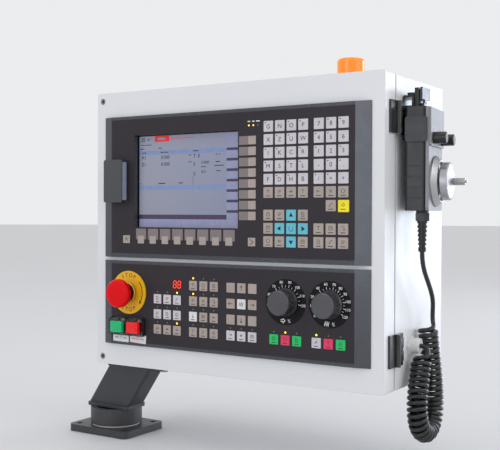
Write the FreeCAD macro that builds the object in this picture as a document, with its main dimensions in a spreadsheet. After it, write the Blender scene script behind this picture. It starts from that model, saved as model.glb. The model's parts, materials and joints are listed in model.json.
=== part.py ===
"""Operator console of a CNC lathe: a swivelling arm carries a sheet-metal cabinet with a hinged
control door, a hand pendant hung on the cabinet's right side, and a beacon on top.

Frame, in millimetres: the origin is the centre of the arm's base flange, on its underside;
+X is the operator's right, +Y is away from the operator, +Z is up.
"""
import FreeCAD, Part
import math
import os
import re
import Sketcher

doc = FreeCAD.newDocument("console")

# ------------------------------------------------------------------ sizes

SIZES = {
    # base flange and swivel
    "flange_wide": 110, "flange_deep": 90, "flange_thick": 10, "flange_corner": 8,
    "base_hole_dia": 9, "base_hole_inset": 12,
    "pivot_radius": 22, "pivot_bore_radius": 13, "pivot_rim_radius": 28, "pivot_rim_thick": 5,
    "washer_thick": 2, "washer_inset": 2, "hub_radius": 38, "hub_tall": 24, "hub_step": 16,
    "rim_clearance": 2, "running_gap": 0.05, "part_gap": 0.3,
    # arm
    "arm_wide": 78, "arm_deep": 36, "arm_wall": 3, "arm_corner": 5, "arm_inner_corner": 2.3, "arm_lean": 38,
    "foot_thick": 5, "foot_overhang": 4, "foot_bore_radius": 15,
    "top_flange_thick": 4, "top_flange_wide": 98, "top_flange_deep": 60, "top_flange_inset": 1,
    "cable_slot_wide": 50, "cable_slot_deep": 16, "cable_slot_setback": 6, "head_gap": 3,
    "arm_screw_dia": 6, "arm_screw_head_dia": 10, "arm_screw_head_tall": 4, "arm_screw_inset": 8,
    "arm_socket_radius": 2.7, "arm_socket_deep": 2, "screw_end": 3, "backing_inset": 0.5,
    # cabinet
    "cabinet_height": 105, "arm_inset": 40, "arm_setback": 22,
    "door_wide": 454, "door_tall": 392, "door_deep": 30, "sheet_thick": 2, "bend_radius": 3,
    "seam_gap": 3, "shell_deep": 158, "lip_wide": 14, "rear_lip_wide": 18,
    "gasket_wide": 8, "gasket_inset": 5,
    "cover_inset": 6, "cover_screw_inset": 11, "cover_screw_dia": 4, "cover_screw_head_dia": 8,
    "cover_screw_head_tall": 2.2, "cover_socket_radius": 1.6, "cover_socket_deep": 1.2,
    # hinges
    "leaf_wide": 20, "leaf_tall": 40, "leaf_thick": 3, "knuckle_radius": 4, "pin_radius": 2,
    "pin_end": 0.5, "web_lap": 1.5,
    "upper_hinge_drop": 34.5, "lower_hinge_rise": 31, "screw_cap_side": 12, "screw_cap_thick": 1.5,
    "screw_cap_inset": 1.5,
    # door screws
    "door_screw_inset": 10, "door_screw_drop": 11.5, "door_screw_rise": 10.5,
    "door_screw_radius": 2.4, "door_screw_head_radius": 4.2, "door_screw_head_tall": 4.4,
    "door_screw_sunk": 0.6, "door_screw_clearance": 0.6, "door_socket_radius": 2.6,
    "door_socket_deep": 3,
    # display panel and control panel
    "panel_wide": 420, "display_tall": 200, "control_tall": 120, "panel_gap": 4.7,
    "panel_top_margin": 36, "bezel_proud": 6, "bezel_lip": 10, "membrane_thick": 0.6,
    "left_slope_wide": 13, "left_slope_fall": 3, "right_slope_wide": 20, "right_slope_fall": 4,
    "membrane_left": 15, "membrane_right": 20, "display_film_low": 6, "display_film_top": 4.5,
    "control_film_low": 4.7, "control_film_top": 4.6,
    "screen_left": 57, "screen_top": 27.5, "screen_wide": 174, "screen_tall": 129.5,
    "screen_recess": 9, "screen_glass_thick": 3, "screen_lap": 5,
    "housing_inset": 11, "display_housing_deep": 54, "control_housing_deep": 50,
    "post_radius": 4, "post_inset": 10,
    "clamp_side": 12, "clamp_thick": 6, "clamp_overlap": 2, "clamp_inset": 25,
    # emergency stop
    "estop_across": 47.6, "estop_down": 44.8, "estop_plate_radius": 30.5, "estop_plate_thick": 1.5,
    "estop_collar_radius": 14.5, "estop_collar_thick": 4.5, "estop_barrel_radius": 10.9,
    "estop_head_radius": 20, "estop_neck_radius": 13, "estop_travel": 4.5, "estop_reach": 30,
    "estop_stem_radius": 6, "estop_barrel_deep": 4, "estop_crown": 9, "estop_crown_edge": 4,
    "estop_socket": 8, "estop_block_wide": 28, "estop_block_tall": 40, "estop_block_deep": 26,
    "estop_block_gap": 0.6,
    # power buttons
    "power_across": 33, "power_down": 93.3, "power_pitch": 29.2, "power_base_wide": 57.4,
    "power_base_tall": 26.5, "power_base_thick": 4, "power_cap_wide": 20, "power_cap_tall": 15.5,
    "power_reach": 12, "power_travel": 3, "power_stem_radius": 4, "power_stem_deep": 8,
    "power_base_lift": 0.7, "power_base_corner": 2, "power_cap_corner": 1.5, "power_cap_gap": 0.4,
    "guard_wall": 1.2, "guard_inside": 0.4, "guard_low_inside": 1.4, "guard_high": 4.2,
    "guard_high_inside": 0.6, "guard_cover": 1.9, "guard_foot_gap": 0.6,
    "guard_pin_radius": 1, "guard_pin_up": 3, "guard_pin_out": 1.8,
    "guard_ear_out": 2.9, "guard_ear_thick": 1.2, "guard_ear_side": 3.6,
    # digits and override dials
    "digits_across": 124, "digits_down": 24.3, "digits_wide": 15.7, "digits_tall": 11.7,
    "dial_across": 303.9, "dial_pitch": 62.8, "dial_down": 44.8, "dial_knob_radius": 16.5,
    "dial_reach": 21, "dial_shaft_radius": 3, "dial_bush_radius": 4.5, "dial_bush_out": 0.5,
    "dial_gap": 1.3, "dial_skirt": 1.5, "dial_skirt_tall": 3, "dial_shaft_deep": 24,
    "dial_flute_radius": 1.3, "dial_flute_out": 0.3, "switch_radius": 13, "switch_deep": 22,
    "digits_sunk": 0.2, "digits_deep": 6,
    # interface flap
    "flap_across": 10.5, "flap_down": 61.5, "flap_wide": 33.5, "flap_tall": 60.5,
    "flap_reach": 12.5, "flap_wall": 2, "flap_corner": 3, "flap_frame_thick": 1.5,
    "flap_port_left": 10, "flap_port_right": 7, "flap_port_end": 12,
    "flap_pin_across": 1.8, "flap_pin_out": 3.2, "flap_pin_radius": 1.2, "flap_ear_low": 1.5,
    "flap_ear_thick": 2, "flap_ear_left": 0.3, "flap_ear_right": 3.3, "flap_ear_out": 4.7,
    "flap_relief": 4.6, "flap_relief_deep": 1.2, "flap_notch_tall": 3.8, "flap_notch_right": 4.2,
    "flap_notch_out": 5.6,
    # hand pendant
    "pendant_turn": 7.5, "pendant_out": 40.5, "pendant_back": 5, "pendant_up": 223,
    "pendant_thick": 30, "pendant_wide": 70, "pendant_tall": 127, "pendant_wall": 2.5,
    "pendant_corner": 4, "face_thick": 4, "face_step": 2.5, "face_step_tall": 48,
    "face_step_inset": 1, "grip_groove_deep": 0.7, "grip_groove_tall": 2, "grip_groove_left": 3,
    "grip_groove_right": 6, "grip_groove_low": 14, "grip_groove_pitch": 13,
    "selector_up": 89, "selector_inset": 14, "selector_radius": 7.25, "selector_long": 16,
    "selector_shaft_radius": 3, "selector_shaft_deep": 6,
    "wheel_up": 36.5, "bezel_radius": 31.5, "bezel_tall": 8, "bezel_step": 4, "wheel_radius": 23.5,
    "wheel_gap": 1.3, "wheel_thick": 10, "wheel_shaft_radius": 4, "wheel_shaft_deep": 12,
    "wheel_hole_radius": 4.5, "encoder_radius": 24, "encoder_gap": 4,
    "crank_throw": 15, "crank_radius": 4.5, "crank_gap": 0.4,
    "crank_long": 15.6, "crank_pin_radius": 2, "crank_cap_tall": 1, "crank_edge": 0.8,
    "enable_low": 83.5, "enable_tall": 31.5, "enable_wide": 27, "enable_reach": 3.5,
    "enable_thick": 1.8, "enable_stem": 14, "enable_shift": 0.5, "enable_stem_deep": 2,
    "hanger_back": 14, "hanger_wide": 28, "hanger_tall": 16, "hanger_out": 15, "hanger_wall": 3,
    "hanger_front_wall": 2.5, "hanger_plate_thick": 2, "hanger_plate_tall": 40,
    "hook_thick": 5.5, "hook_up": 9, "hook_bar": 3, "hook_left": 6, "latch_gap": 3,
    "latch_arm": 4, "latch_low": 2, "latch_step": 10, "latch_tall": 25, "latch_thick": 3,
    # cable glands and cord
    "cord_radius": 3, "coil_radius": 13.5,
    "pendant_gland_back": 30, "pendant_gland_radius": 8, "pendant_gland_tall": 13,
    "pendant_gland_neck": 3, "pendant_gland_flat": 0.8,
    "relief_tall": 38, "relief_low_radius": 5, "relief_high_radius": 6.6, "relief_groove_deep": 1.2,
    "gland_back": 47, "gland_up": 52, "gland_radius": 9.5, "gland_hex_radius": 12.7,
    "gland_hex_tall": 4, "gland_long": 14, "gland_stem_radius": 8, "gland_stem_deep": 8,
    "gland_nut_tall": 5,
    # beacon
    "beacon_from_right": 91.5, "beacon_back": 61, "beacon_radius": 18.5, "beacon_base_tall": 6,
    "beacon_base_proud": 1, "beacon_stem_radius": 5, "beacon_stem_deep": 8,
    "beacon_tall": 33.7, "beacon_wall": 2.5, "beacon_shoulder": 4, "beacon_edge": 1.2,
}

PLACES = {
    "hub_low": "flange_thick + washer_thick",
    "hub_top": "flange_thick + washer_thick + hub_tall",
    "cabinet_right": "arm_lean - arm_inset + door_wide",
    "cabinet_left": "arm_lean - arm_inset",
    "cabinet_top": "cabinet_height + door_tall",
    "door_front": "-arm_deep / 2 - arm_setback",
    "door_back": "-arm_deep / 2 - arm_setback + door_deep",
    "shell_front": "-arm_deep / 2 - arm_setback + door_deep + seam_gap",
    "shell_back": "-arm_deep / 2 - arm_setback + door_deep + seam_gap + shell_deep",
    "panel_face": "-arm_deep / 2 - arm_setback - bezel_proud",
    "panel_left": "arm_lean - arm_inset + (door_wide - panel_wide) / 2",
    "display_top": "cabinet_height + door_tall - panel_top_margin",
    "display_low": "cabinet_height + door_tall - panel_top_margin - display_tall",
    "control_top": "cabinet_height + door_tall - panel_top_margin - display_tall - panel_gap",
    "pin_x": "arm_lean - arm_inset + door_wide + knuckle_radius + part_gap",
    "pin_y": "-arm_deep / 2 - arm_setback + door_deep + seam_gap / 2",
    "pendant_x": "arm_lean - arm_inset + door_wide + pendant_out",
    "pendant_y": "-arm_deep / 2 - arm_setback + door_deep + seam_gap + pendant_back",
    "pendant_z": "cabinet_height + pendant_up",
    "gland_y": "-arm_deep / 2 - arm_setback + door_deep + seam_gap + gland_back",
    "gland_z": "cabinet_height + gland_up",
    "beacon_x": "arm_lean - arm_inset + door_wide - beacon_from_right",
    "beacon_y": "-arm_deep / 2 - arm_setback + door_deep + seam_gap + beacon_back",
}


def make_sheet(name, cells):
    """A spreadsheet whose column B holds the values, each with its alias."""
    sheet = doc.addObject("Spreadsheet::Sheet", name)
    for row, (alias, value) in enumerate(cells.items(), start=1):
        sheet.set("A%d" % row, alias)
        sheet.set("B%d" % row, str(value))
        sheet.setAlias("B%d" % row, alias)
    return sheet


def bound(text):
    """The expression with each named size written as its sheet's cell."""
    def full(match):
        word = match.group(0)
        if word in SIZES:
            return "sizes." + word
        if word in PLACES:
            return "places." + word
        return word
    return re.sub(r"[a-z][a-z_]*", full, str(text))


make_sheet("sizes", SIZES)
places = make_sheet("places", {name: "=" + bound(text) for name, text in PLACES.items()})
doc.recompute()


def value(text):
    """The number that an expression has now."""
    found = places.evalExpression(bound(text))
    return float(getattr(found, "Value", found))


# ------------------------------------------------------------------ ways of making a piece

kept = []


def keep(piece):
    """Marks an object of the document as a sub-part, which gets a file of its own."""
    kept.append(piece)
    return piece


def body(name, at=(0, 0, 0), yaw=0, groups=False):
    """A PartDesign body, turned by yaw about Z and placed by expressions."""
    made = doc.addObject("PartDesign::Body", name)
    made.Label = name
    made.AllowCompound = groups
    put(made, at, yaw)
    return keep(made)


def put(piece, at, yaw=0, pitch=0):
    """Binds the placement of a piece to the sheet."""
    spots = "; ".join(bound(spot) for spot in at)
    piece.setExpression("Placement", "placement(vector(%s); rotation(%s; %s; 0))"
                        % (spots, bound(yaw), bound(pitch)))


def sketch(owner, plane, lift="0"):
    """A sketch on one of the body's origin planes, lifted along the plane's normal."""
    made = owner.newObject("Sketcher::SketchObject", owner.Name + "_sketch")
    support = [item for item in owner.Origin.OriginFeatures if item.Role == plane + "_Plane"]
    made.AttachmentSupport = [(support[0], "")]
    made.MapMode = "FlatFace"
    made.setExpression("AttachmentOffset", "placement(vector(0; 0; %s); rotation(0; 0; 0))"
                       % bound(lift))
    return made


def pin_point(drawn, shape, end, x, y):
    """Ties a point of the sketch's geometry to its two expressions."""
    for kind, text in (("DistanceX", x), ("DistanceY", y)):
        index = drawn.addConstraint(Sketcher.Constraint(kind, -1, 1, shape, end, value(text)))
        drawn.setExpression("Constraints[%d]" % index, bound(text))


def outline(drawn, corners):
    """A closed polygon through the corners."""
    points = [FreeCAD.Vector(value(x), value(y), 0) for x, y in corners]
    first = drawn.GeometryCount
    count = len(points)
    for index in range(count):
        drawn.addGeometry(Part.LineSegment(points[index], points[(index + 1) % count]), False)
    for index, (x, y) in enumerate(corners):
        after = first + (index + 1) % count
        drawn.addConstraint(Sketcher.Constraint("Coincident", first + index, 2, after, 1))
        pin_point(drawn, first + index, 1, x, y)


def circle(drawn, x, y, radius):
    centre = FreeCAD.Vector(value(x), value(y), 0)
    ring = Part.Circle(centre, FreeCAD.Vector(0, 0, 1), value(radius))
    shape = drawn.addGeometry(ring, False)
    pin_point(drawn, shape, 3, x, y)
    index = drawn.addConstraint(Sketcher.Constraint("Radius", shape, value(radius)))
    drawn.setExpression("Constraints[%d]" % index, bound(radius))


def rectangle(x_low, y_low, x_high, y_high):
    return [(x_low, y_low), (x_high, y_low), (x_high, y_high), (x_low, y_high)]


def rounded(drawn, x_low, y_low, x_high, y_high, radius):
    """A rectangle with round corners."""
    arms = []
    for x, y, side_x, side_y, start in ((x_high, y_high, -1, -1, 0), (x_low, y_high, 1, -1, 90),
                                        (x_low, y_low, 1, 1, 180), (x_high, y_low, -1, 1, 270)):
        middle = ("%s + (%d) * (%s)" % (x, side_x, radius), "%s + (%d) * (%s)" % (y, side_y, radius))
        ring = Part.Circle(FreeCAD.Vector(value(middle[0]), value(middle[1]), 0),
                           FreeCAD.Vector(0, 0, 1), value(radius))
        arc = Part.ArcOfCircle(ring, math.radians(start), math.radians(start + 90))
        shape = drawn.addGeometry(arc, False)
        index = drawn.addConstraint(Sketcher.Constraint("Radius", shape, value(radius)))
        drawn.setExpression("Constraints[%d]" % index, bound(radius))
        ends = [(x, middle[1]), (middle[0], y)]
        if start in (90, 270):
            ends.reverse()
        pin_point(drawn, shape, 1, *ends[0])
        pin_point(drawn, shape, 2, *ends[1])
        arms.append(shape)
    for index, shape in enumerate(arms):
        after = arms[(index + 1) % 4]
        line = drawn.addGeometry(Part.LineSegment(drawn.getPoint(shape, 2),
                                                  drawn.getPoint(after, 1)), False)
        drawn.addConstraint(Sketcher.Constraint("Coincident", shape, 2, line, 1))
        drawn.addConstraint(Sketcher.Constraint("Coincident", line, 2, after, 1))


def draw(drawn, loops):
    """Draws loops: ("box", x, y, x, y), ("soft", x, y, x, y, radius), ("disc", x, y, radius)
    or ("line", corners)."""
    for kind, *data in loops:
        if kind == "box":
            outline(drawn, rectangle(*data))
        elif kind == "soft":
            rounded(drawn, *data)
        elif kind == "disc":
            circle(drawn, *data)
        else:
            outline(drawn, data[0])


# The XZ plane's normal is -Y, so a pad there starts at its high end and a pocket at its low end.
def grow(owner, plane, low, high, loops):
    """Adds a slab with this outline between two levels of the plane's axis."""
    lift = "-(%s)" % high if plane == "XZ" else low
    profile = sketch(owner, plane, lift)
    draw(profile, loops)
    pad = owner.newObject("PartDesign::Pad", owner.Name + "_pad")
    pad.Profile = profile
    pad.setExpression("Length", bound("(%s) - (%s)" % (high, low)))
    return pad


def cut(owner, plane, low, high, loops):
    """Cuts the outline away between two levels of the plane's axis."""
    lift = "-(%s)" % low if plane == "XZ" else high
    profile = sketch(owner, plane, lift)
    draw(profile, loops)
    doc.recompute()
    before = owner.Shape.Volume
    pocket = owner.newObject("PartDesign::Pocket", owner.Name + "_pocket")
    pocket.Profile = profile
    pocket.setExpression("Length", bound("(%s) - (%s)" % (high, low)))
    doc.recompute()
    if owner.Shape.Volume > before - 0.01:
        raise RuntimeError("a pocket of %s cuts nothing" % owner.Label)
    return pocket


def turn(owner, axis, profile):
    """Revolves a profile of (along, radius) corners about the body's own X, Y or Z axis."""
    drawn = sketch(owner, "XZ" if axis == "Z" else "XY")
    corners = profile if axis == "X" else [(radius, along) for along, radius in profile]
    outline(drawn, corners)
    spin = owner.newObject("PartDesign::Revolution", owner.Name + "_turn")
    spin.Profile = drawn
    spin.ReferenceAxis = (drawn, ["H_Axis" if axis == "X" else "V_Axis"])
    spin.Angle = 360
    return spin


def turned(name, axis, at, profile, yaw=0):
    made = body(name, at, yaw)
    turn(made, axis, profile)
    return made


def ring_profile(low, high, inner, outer):
    return [(low, inner), (high, inner), (high, outer), (low, outer)]


def hexagon(x, y, radius):
    """Corners of a hexagon with its points along the first axis."""
    return [("%s + (%s) * cos(%d deg)" % (x, radius, 60 * turn_by),
             "%s + (%s) * sin(%d deg)" % (y, radius, 60 * turn_by)) for turn_by in range(6)]


# ------------------------------------------------------------------ base flange and swivel

def base_and_swivel():
    flange = body("arm_base_flange")
    hole_x = "(flange_wide / 2 - base_hole_inset)"
    hole_y = "(flange_deep / 2 - base_hole_inset)"
    holes = [("disc", "%d * %s" % (side_x, hole_x), "%d * %s" % (side_y, hole_y), "base_hole_dia / 2")
             for side_x in (-1, 1) for side_y in (-1, 1)]
    grow(flange, "XY", "0", "flange_thick",
         [("soft", "-flange_wide / 2", "-flange_deep / 2", "flange_wide / 2", "flange_deep / 2",
           "flange_corner"), ("disc", "0", "0", "pivot_bore_radius")] + holes)

    rim_low = "hub_low + hub_step + part_gap"
    turned("swivel_pivot", "Z", (0, 0, 0),
           [("flange_thick", "pivot_bore_radius"), ("flange_thick", "pivot_radius"),
            (rim_low, "pivot_radius"), (rim_low, "pivot_rim_radius"),
            (rim_low + " + pivot_rim_thick", "pivot_rim_radius"),
            (rim_low + " + pivot_rim_thick", "pivot_bore_radius")])
    turned("thrust_washer", "Z", (0, 0, 0),
           ring_profile("flange_thick", "hub_low", "pivot_radius + part_gap",
                        "hub_radius - washer_inset"))
    step = "hub_low + hub_step"
    turned("swivel_hub", "Z", (0, 0, 0),
           [("hub_low", "pivot_radius + running_gap"), ("hub_low", "hub_radius"),
            ("hub_top", "hub_radius"), ("hub_top", "pivot_rim_radius + rim_clearance"),
            (step, "pivot_rim_radius + rim_clearance"), (step, "pivot_radius + running_gap")])


# ------------------------------------------------------------------ arm

def arm_screw_spots():
    """Where the four screws go through the top flange, beside and behind the arm."""
    left = "cabinet_left + top_flange_inset + arm_screw_inset"
    right = "cabinet_left + top_flange_inset + top_flange_wide - arm_screw_inset"
    rear = "-arm_deep / 2 + top_flange_deep - arm_screw_inset"
    front = "shell_front + top_flange_inset + arm_screw_inset"
    return [(left, rear), ("(%s + %s) / 2" % (left, right), rear), (right, rear), (right, front)]


def flange_loops(front, left="cabinet_left + top_flange_inset"):
    """Outline, cable slot and screw holes of a plate with this front and left edge."""
    slot_front = "shell_front + cable_slot_setback"
    slot = ("box", "arm_lean - cable_slot_wide / 2", slot_front,
            "arm_lean + cable_slot_wide / 2", slot_front + " + cable_slot_deep")
    holes = [("disc", x, y, "arm_screw_dia / 2") for x, y in arm_screw_spots()]
    return [("box", left, front, "cabinet_left + top_flange_inset + top_flange_wide",
             "-arm_deep / 2 + top_flange_deep"), slot] + holes


def leaning_box(name, margin):
    """A rounded box section that runs from the foot plate up to the top flange, leaning sideways."""
    drawn = doc.addObject("Sketcher::SketchObject", name + "_sketch")
    half_x = "(arm_wide / 2 - %s)" % margin
    half_y = "(arm_deep / 2 - %s)" % margin
    corner = "arm_corner" if margin == "0" else "arm_inner_corner"
    rounded(drawn, "-" + half_x, "-" + half_y, half_x, half_y, corner)
    drawn.setExpression("Placement", "placement(vector(0; 0; %s); rotation(0; 0; 0))"
                        % bound("hub_top + foot_thick"))
    made = doc.addObject("Part::Extrusion", name)
    made.Base = drawn
    made.DirMode = "Custom"
    rise = "cabinet_height - head_gap - top_flange_thick - hub_top - foot_thick"
    made.setExpression("Dir", "vector(%s; 0; %s)" % (bound("arm_lean"), bound(rise)))
    made.Solid = True
    return made


def plate(name, plane, low, high, loops):
    """A flat piece that a Part boolean takes in."""
    made = doc.addObject("PartDesign::Body", name)
    put(made, (0, 0, 0))
    grow(made, plane, low, high, loops)
    return made


def support_arm():
    tube = doc.addObject("Part::Cut", "arm_tube")
    tube.Base = leaning_box("arm_outside", "0")
    tube.Tool = leaning_box("arm_inside", "arm_wall")
    foot = plate("arm_foot", "XY", "hub_top", "hub_top + foot_thick",
                 [("soft", "-arm_wide / 2", "-arm_deep / 2 - foot_overhang", "arm_wide / 2",
                   "arm_deep / 2 + foot_overhang", "arm_corner"),
                  ("disc", "0", "0", "foot_bore_radius")])
    head_low = "cabinet_height - head_gap - top_flange_thick"
    top = plate("arm_head", "XY", head_low, "cabinet_height - head_gap",
                flange_loops("-arm_deep / 2"))
    riser = plate("arm_riser", "XY", "cabinet_height - head_gap", "cabinet_height",
                  flange_loops("shell_front + top_flange_inset"))
    welded = doc.addObject("Part::MultiFuse", "support_arm")
    welded.Label = "support_arm"
    welded.Shapes = [tube, foot, top, riser]
    keep(welded)

    grow(body("floor_backing_plate"), "XY", "cabinet_height + sheet_thick",
         "cabinet_height + sheet_thick + top_flange_thick",
         flange_loops("shell_front + sheet_thick + top_flange_inset",
                      "cabinet_left + sheet_thick + backing_inset"))

    screws = body("arm_flange_screws", groups=True)
    screw_low = head_low + " - arm_screw_head_tall"
    grow(screws, "XY", screw_low, head_low,
         [("disc", x, y, "arm_screw_head_dia / 2") for x, y in arm_screw_spots()])
    grow(screws, "XY", head_low, "cabinet_height + sheet_thick + top_flange_thick + screw_end",
         [("disc", x, y, "arm_screw_dia / 2") for x, y in arm_screw_spots()])
    cut(screws, "XY", screw_low, screw_low + " + arm_socket_deep",
        [("line", hexagon(x, y, "arm_socket_radius")) for x, y in arm_screw_spots()])


# ------------------------------------------------------------------ cabinet

def inset_box(margin, low_x="cabinet_left", low_z="cabinet_height",
              high_x="cabinet_right", high_z="cabinet_top"):
    return ("box", "%s + %s" % (low_x, margin), "%s + %s" % (low_z, margin),
            "%s - (%s)" % (high_x, margin), "%s - (%s)" % (high_z, margin))


def cover_screw_spots():
    """Eight screws round the rear cover: three along the top and the bottom, one each side."""
    left, right = "cabinet_left + cover_screw_inset", "cabinet_right - cover_screw_inset"
    low, high = "cabinet_height + cover_screw_inset", "cabinet_top - cover_screw_inset"
    middle_x = "(cabinet_left + cabinet_right) / 2"
    middle_z = "(cabinet_height + cabinet_top) / 2"
    return ([(x, z) for x in (left, middle_x, right) for z in (low, high)]
            + [(left, middle_z), (right, middle_z)])


def door_screw_spots():
    """The two captive screws, on the door's free side."""
    return [("cabinet_left + door_screw_inset", "cabinet_top - door_screw_drop"),
            ("cabinet_left + door_screw_inset", "cabinet_height + door_screw_rise")]


def cabinet():
    shell = body("cabinet_shell")
    outside = ("soft", "cabinet_left", "cabinet_height", "cabinet_right", "cabinet_top", "bend_radius")
    grow(shell, "XZ", "shell_front", "shell_back", [outside, inset_box("sheet_thick")])
    lip_holes = [("disc", x, z, "door_screw_radius + door_screw_clearance") for x, z in door_screw_spots()]
    grow(shell, "XZ", "shell_front", "shell_front + sheet_thick",
         [outside, inset_box("lip_wide")] + lip_holes)
    rear_holes = [("disc", x, z, "cover_screw_dia / 2") for x, z in cover_screw_spots()]
    grow(shell, "XZ", "shell_back - sheet_thick", "shell_back",
         [outside, inset_box("rear_lip_wide")] + rear_holes)
    cut(shell, "XY", "cabinet_height", "cabinet_height + sheet_thick", flange_loops("0")[1:])
    cut(shell, "XY", "cabinet_top - sheet_thick", "cabinet_top",
        [("disc", "beacon_x", "beacon_y", "beacon_stem_radius")])
    cut(shell, "YZ", "cabinet_right - sheet_thick", "cabinet_right",
        [("disc", "gland_y", "gland_z", "gland_stem_radius")])

    cover = body("rear_cover")
    grow(cover, "XZ", "shell_back", "shell_back + sheet_thick",
         [inset_box("cover_inset")] + rear_holes)
    screws = body("rear_cover_screws", groups=True)
    head_back = "shell_back + sheet_thick + cover_screw_head_tall"
    grow(screws, "XZ", "shell_back + sheet_thick", head_back,
         [("disc", x, z, "cover_screw_head_dia / 2") for x, z in cover_screw_spots()])
    grow(screws, "XZ", "shell_back - sheet_thick - screw_end", "shell_back + sheet_thick",
         [("disc", x, z, "cover_screw_dia / 2") for x, z in cover_screw_spots()])
    cut(screws, "XZ", head_back + " - cover_socket_deep", head_back,
        [("line", hexagon(x, z, "cover_socket_radius")) for x, z in cover_screw_spots()])

    gasket = body("door_gasket")
    grow(gasket, "XZ", "door_back + part_gap", "shell_front",
         [inset_box("gasket_inset"), inset_box("gasket_inset + gasket_wide")] + lip_holes)


# ------------------------------------------------------------------ hinges

def hinge_levels():
    """The lower end of each hinge."""
    return ["cabinet_height + lower_hinge_rise", "cabinet_top - upper_hinge_drop - leaf_tall"]


def hinge_leaves(name, side, segments):
    """Both hinges' leaves on one side of the pin. side is -1 in front of it and 1 behind it."""
    made = body(name, ("pin_x", "pin_y", "0"), groups=True)
    wall = "-knuckle_radius - part_gap"
    face = wall + " + leaf_thick"
    for level in hinge_levels():
        near = "%d * (knuckle_radius + part_gap)" % side
        far = "%d * leaf_wide" % side
        grow(made, "XY", level, level + " + leaf_tall", [("box", wall, near, face, far)])
        for low, high in segments:
            bottom = "%s + leaf_tall * %s" % (level, low)
            top = "%s + leaf_tall * %s" % (level, high)
            grow(made, "XY", bottom, top, [("disc", "0", "0", "knuckle_radius")])
            grow(made, "XY", bottom, top,
                 [("box", wall, "%d * (knuckle_radius + 1)" % side, face, "%d * web_lap" % side)])
    for level in hinge_levels():
        cut(made, "XY", level, level + " + leaf_tall",
            [("disc", "0", "0", "pin_radius + running_gap")])
    return made


def hinges():
    hinge_leaves("hinge_door_leaves", -1, [("0.3", "0.7")])
    hinge_leaves("hinge_fixed_leaves", 1, [("0", "0.29"), ("0.71", "1")])
    pins = body("hinge_pins", ("pin_x", "pin_y", "0"), groups=True)
    caps = body("hinge_screw_caps", ("pin_x", "pin_y", "0"), groups=True)
    face = "-knuckle_radius - part_gap + leaf_thick"
    for level in hinge_levels():
        grow(pins, "XY", level + " - pin_end", level + " + leaf_tall + pin_end",
             [("disc", "0", "0", "pin_radius")])
        for low in (level + " + leaf_tall * 0.14", level + " + leaf_tall * 0.86 - screw_cap_side"):
            grow(caps, "YZ", face, face + " + screw_cap_thick",
                 [("box", "leaf_wide - screw_cap_inset - screw_cap_side", low,
                   "leaf_wide - screw_cap_inset", low + " + screw_cap_side")])


# ------------------------------------------------------------------ door

def across(distance):
    """X of a point that lies this far from the panels' left edge."""
    return "panel_left + " + distance


def dial_spots():
    return [(across("dial_across"), "control_top - dial_down"),
            (across("dial_across + dial_pitch"), "control_top - dial_down")]


def power_spots():
    return [(across("power_across"), "control_top - power_down"),
            (across("power_across + power_pitch"), "control_top - power_down")]


def door():
    panel = body("door_panel")
    outside = ("soft", "cabinet_left", "cabinet_height", "cabinet_right", "cabinet_top", "bend_radius")
    holes = [("disc", x, z, "door_screw_head_radius + part_gap") for x, z in door_screw_spots()]
    lip = "bezel_lip"
    windows = [("box", "panel_left + " + lip, "display_low + " + lip,
                "panel_left + panel_wide - " + lip, "display_top - " + lip),
               ("box", "panel_left + " + lip, "control_top - control_tall + " + lip,
                "panel_left + panel_wide - " + lip, "control_top - " + lip)]
    grow(panel, "XZ", "door_front", "door_front + sheet_thick", [outside] + windows + holes)
    grow(panel, "XZ", "door_front + sheet_thick", "door_back", [outside, inset_box("sheet_thick")])
    lip_holes = [("disc", x, z, "door_screw_radius + door_screw_clearance") for x, z in door_screw_spots()]
    grow(panel, "XZ", "door_back - sheet_thick", "door_back",
         [outside, inset_box("lip_wide")] + lip_holes)

    screws = body("door_screws", groups=True)
    head_front = "door_front + door_screw_sunk"
    head_back = head_front + " + door_screw_head_tall"
    grow(screws, "XZ", head_front, head_back,
         [("disc", x, z, "door_screw_head_radius") for x, z in door_screw_spots()])
    grow(screws, "XZ", head_back, "shell_front + sheet_thick + screw_end",
         [("disc", x, z, "door_screw_radius") for x, z in door_screw_spots()])
    cut(screws, "XZ", head_front, head_front + " + door_socket_deep",
        [("line", hexagon(x, z, "door_socket_radius")) for x, z in door_screw_spots()])


def bezel(name, low, high, holes):
    """A panel front: a plate with a sloped strip down each side, and its openings."""
    made = body(name)
    left, right = "panel_left", "panel_left + panel_wide"
    face = "panel_face + membrane_thick"
    grow(made, "XY", low, high,
         [("line", [(left, "door_front"), (left, face + " + left_slope_fall"),
                    (left + " + left_slope_wide", face),
                    (right + " - right_slope_wide", face),
                    (right, face + " + right_slope_fall"), (right, "door_front")])])
    cut(made, "XZ", face + " - 1", "door_front + 1", holes)
    return made


def membrane(name, low, high, holes):
    made = body(name)
    grow(made, "XZ", "panel_face", "panel_face + membrane_thick",
         [("box", across("membrane_left"), low, across("panel_wide - membrane_right"), high)] + holes)


def screen_window(margin="0"):
    return ("box", across("screen_left - (%s)" % margin),
            "display_top - screen_top - screen_tall - (%s)" % margin,
            across("screen_left + screen_wide + (%s)" % margin),
            "display_top - screen_top + (%s)" % margin)


def housing(name, panel_low, panel_high, depth):
    """An open-fronted tub behind a panel, whose rim meets the panel's back."""
    made = body(name)
    low, high = panel_low + " + housing_inset", panel_high + " - housing_inset"
    left, right = across("housing_inset"), across("panel_wide - housing_inset")
    grow(made, "XZ", "door_front", "door_front + " + depth, [("box", left, low, right, high)])
    cut(made, "XZ", "door_front", "door_front + %s - sheet_thick" % depth,
        [("box", left + " + sheet_thick", low + " + sheet_thick",
          right + " - sheet_thick", high + " - sheet_thick")])
    return made


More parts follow.
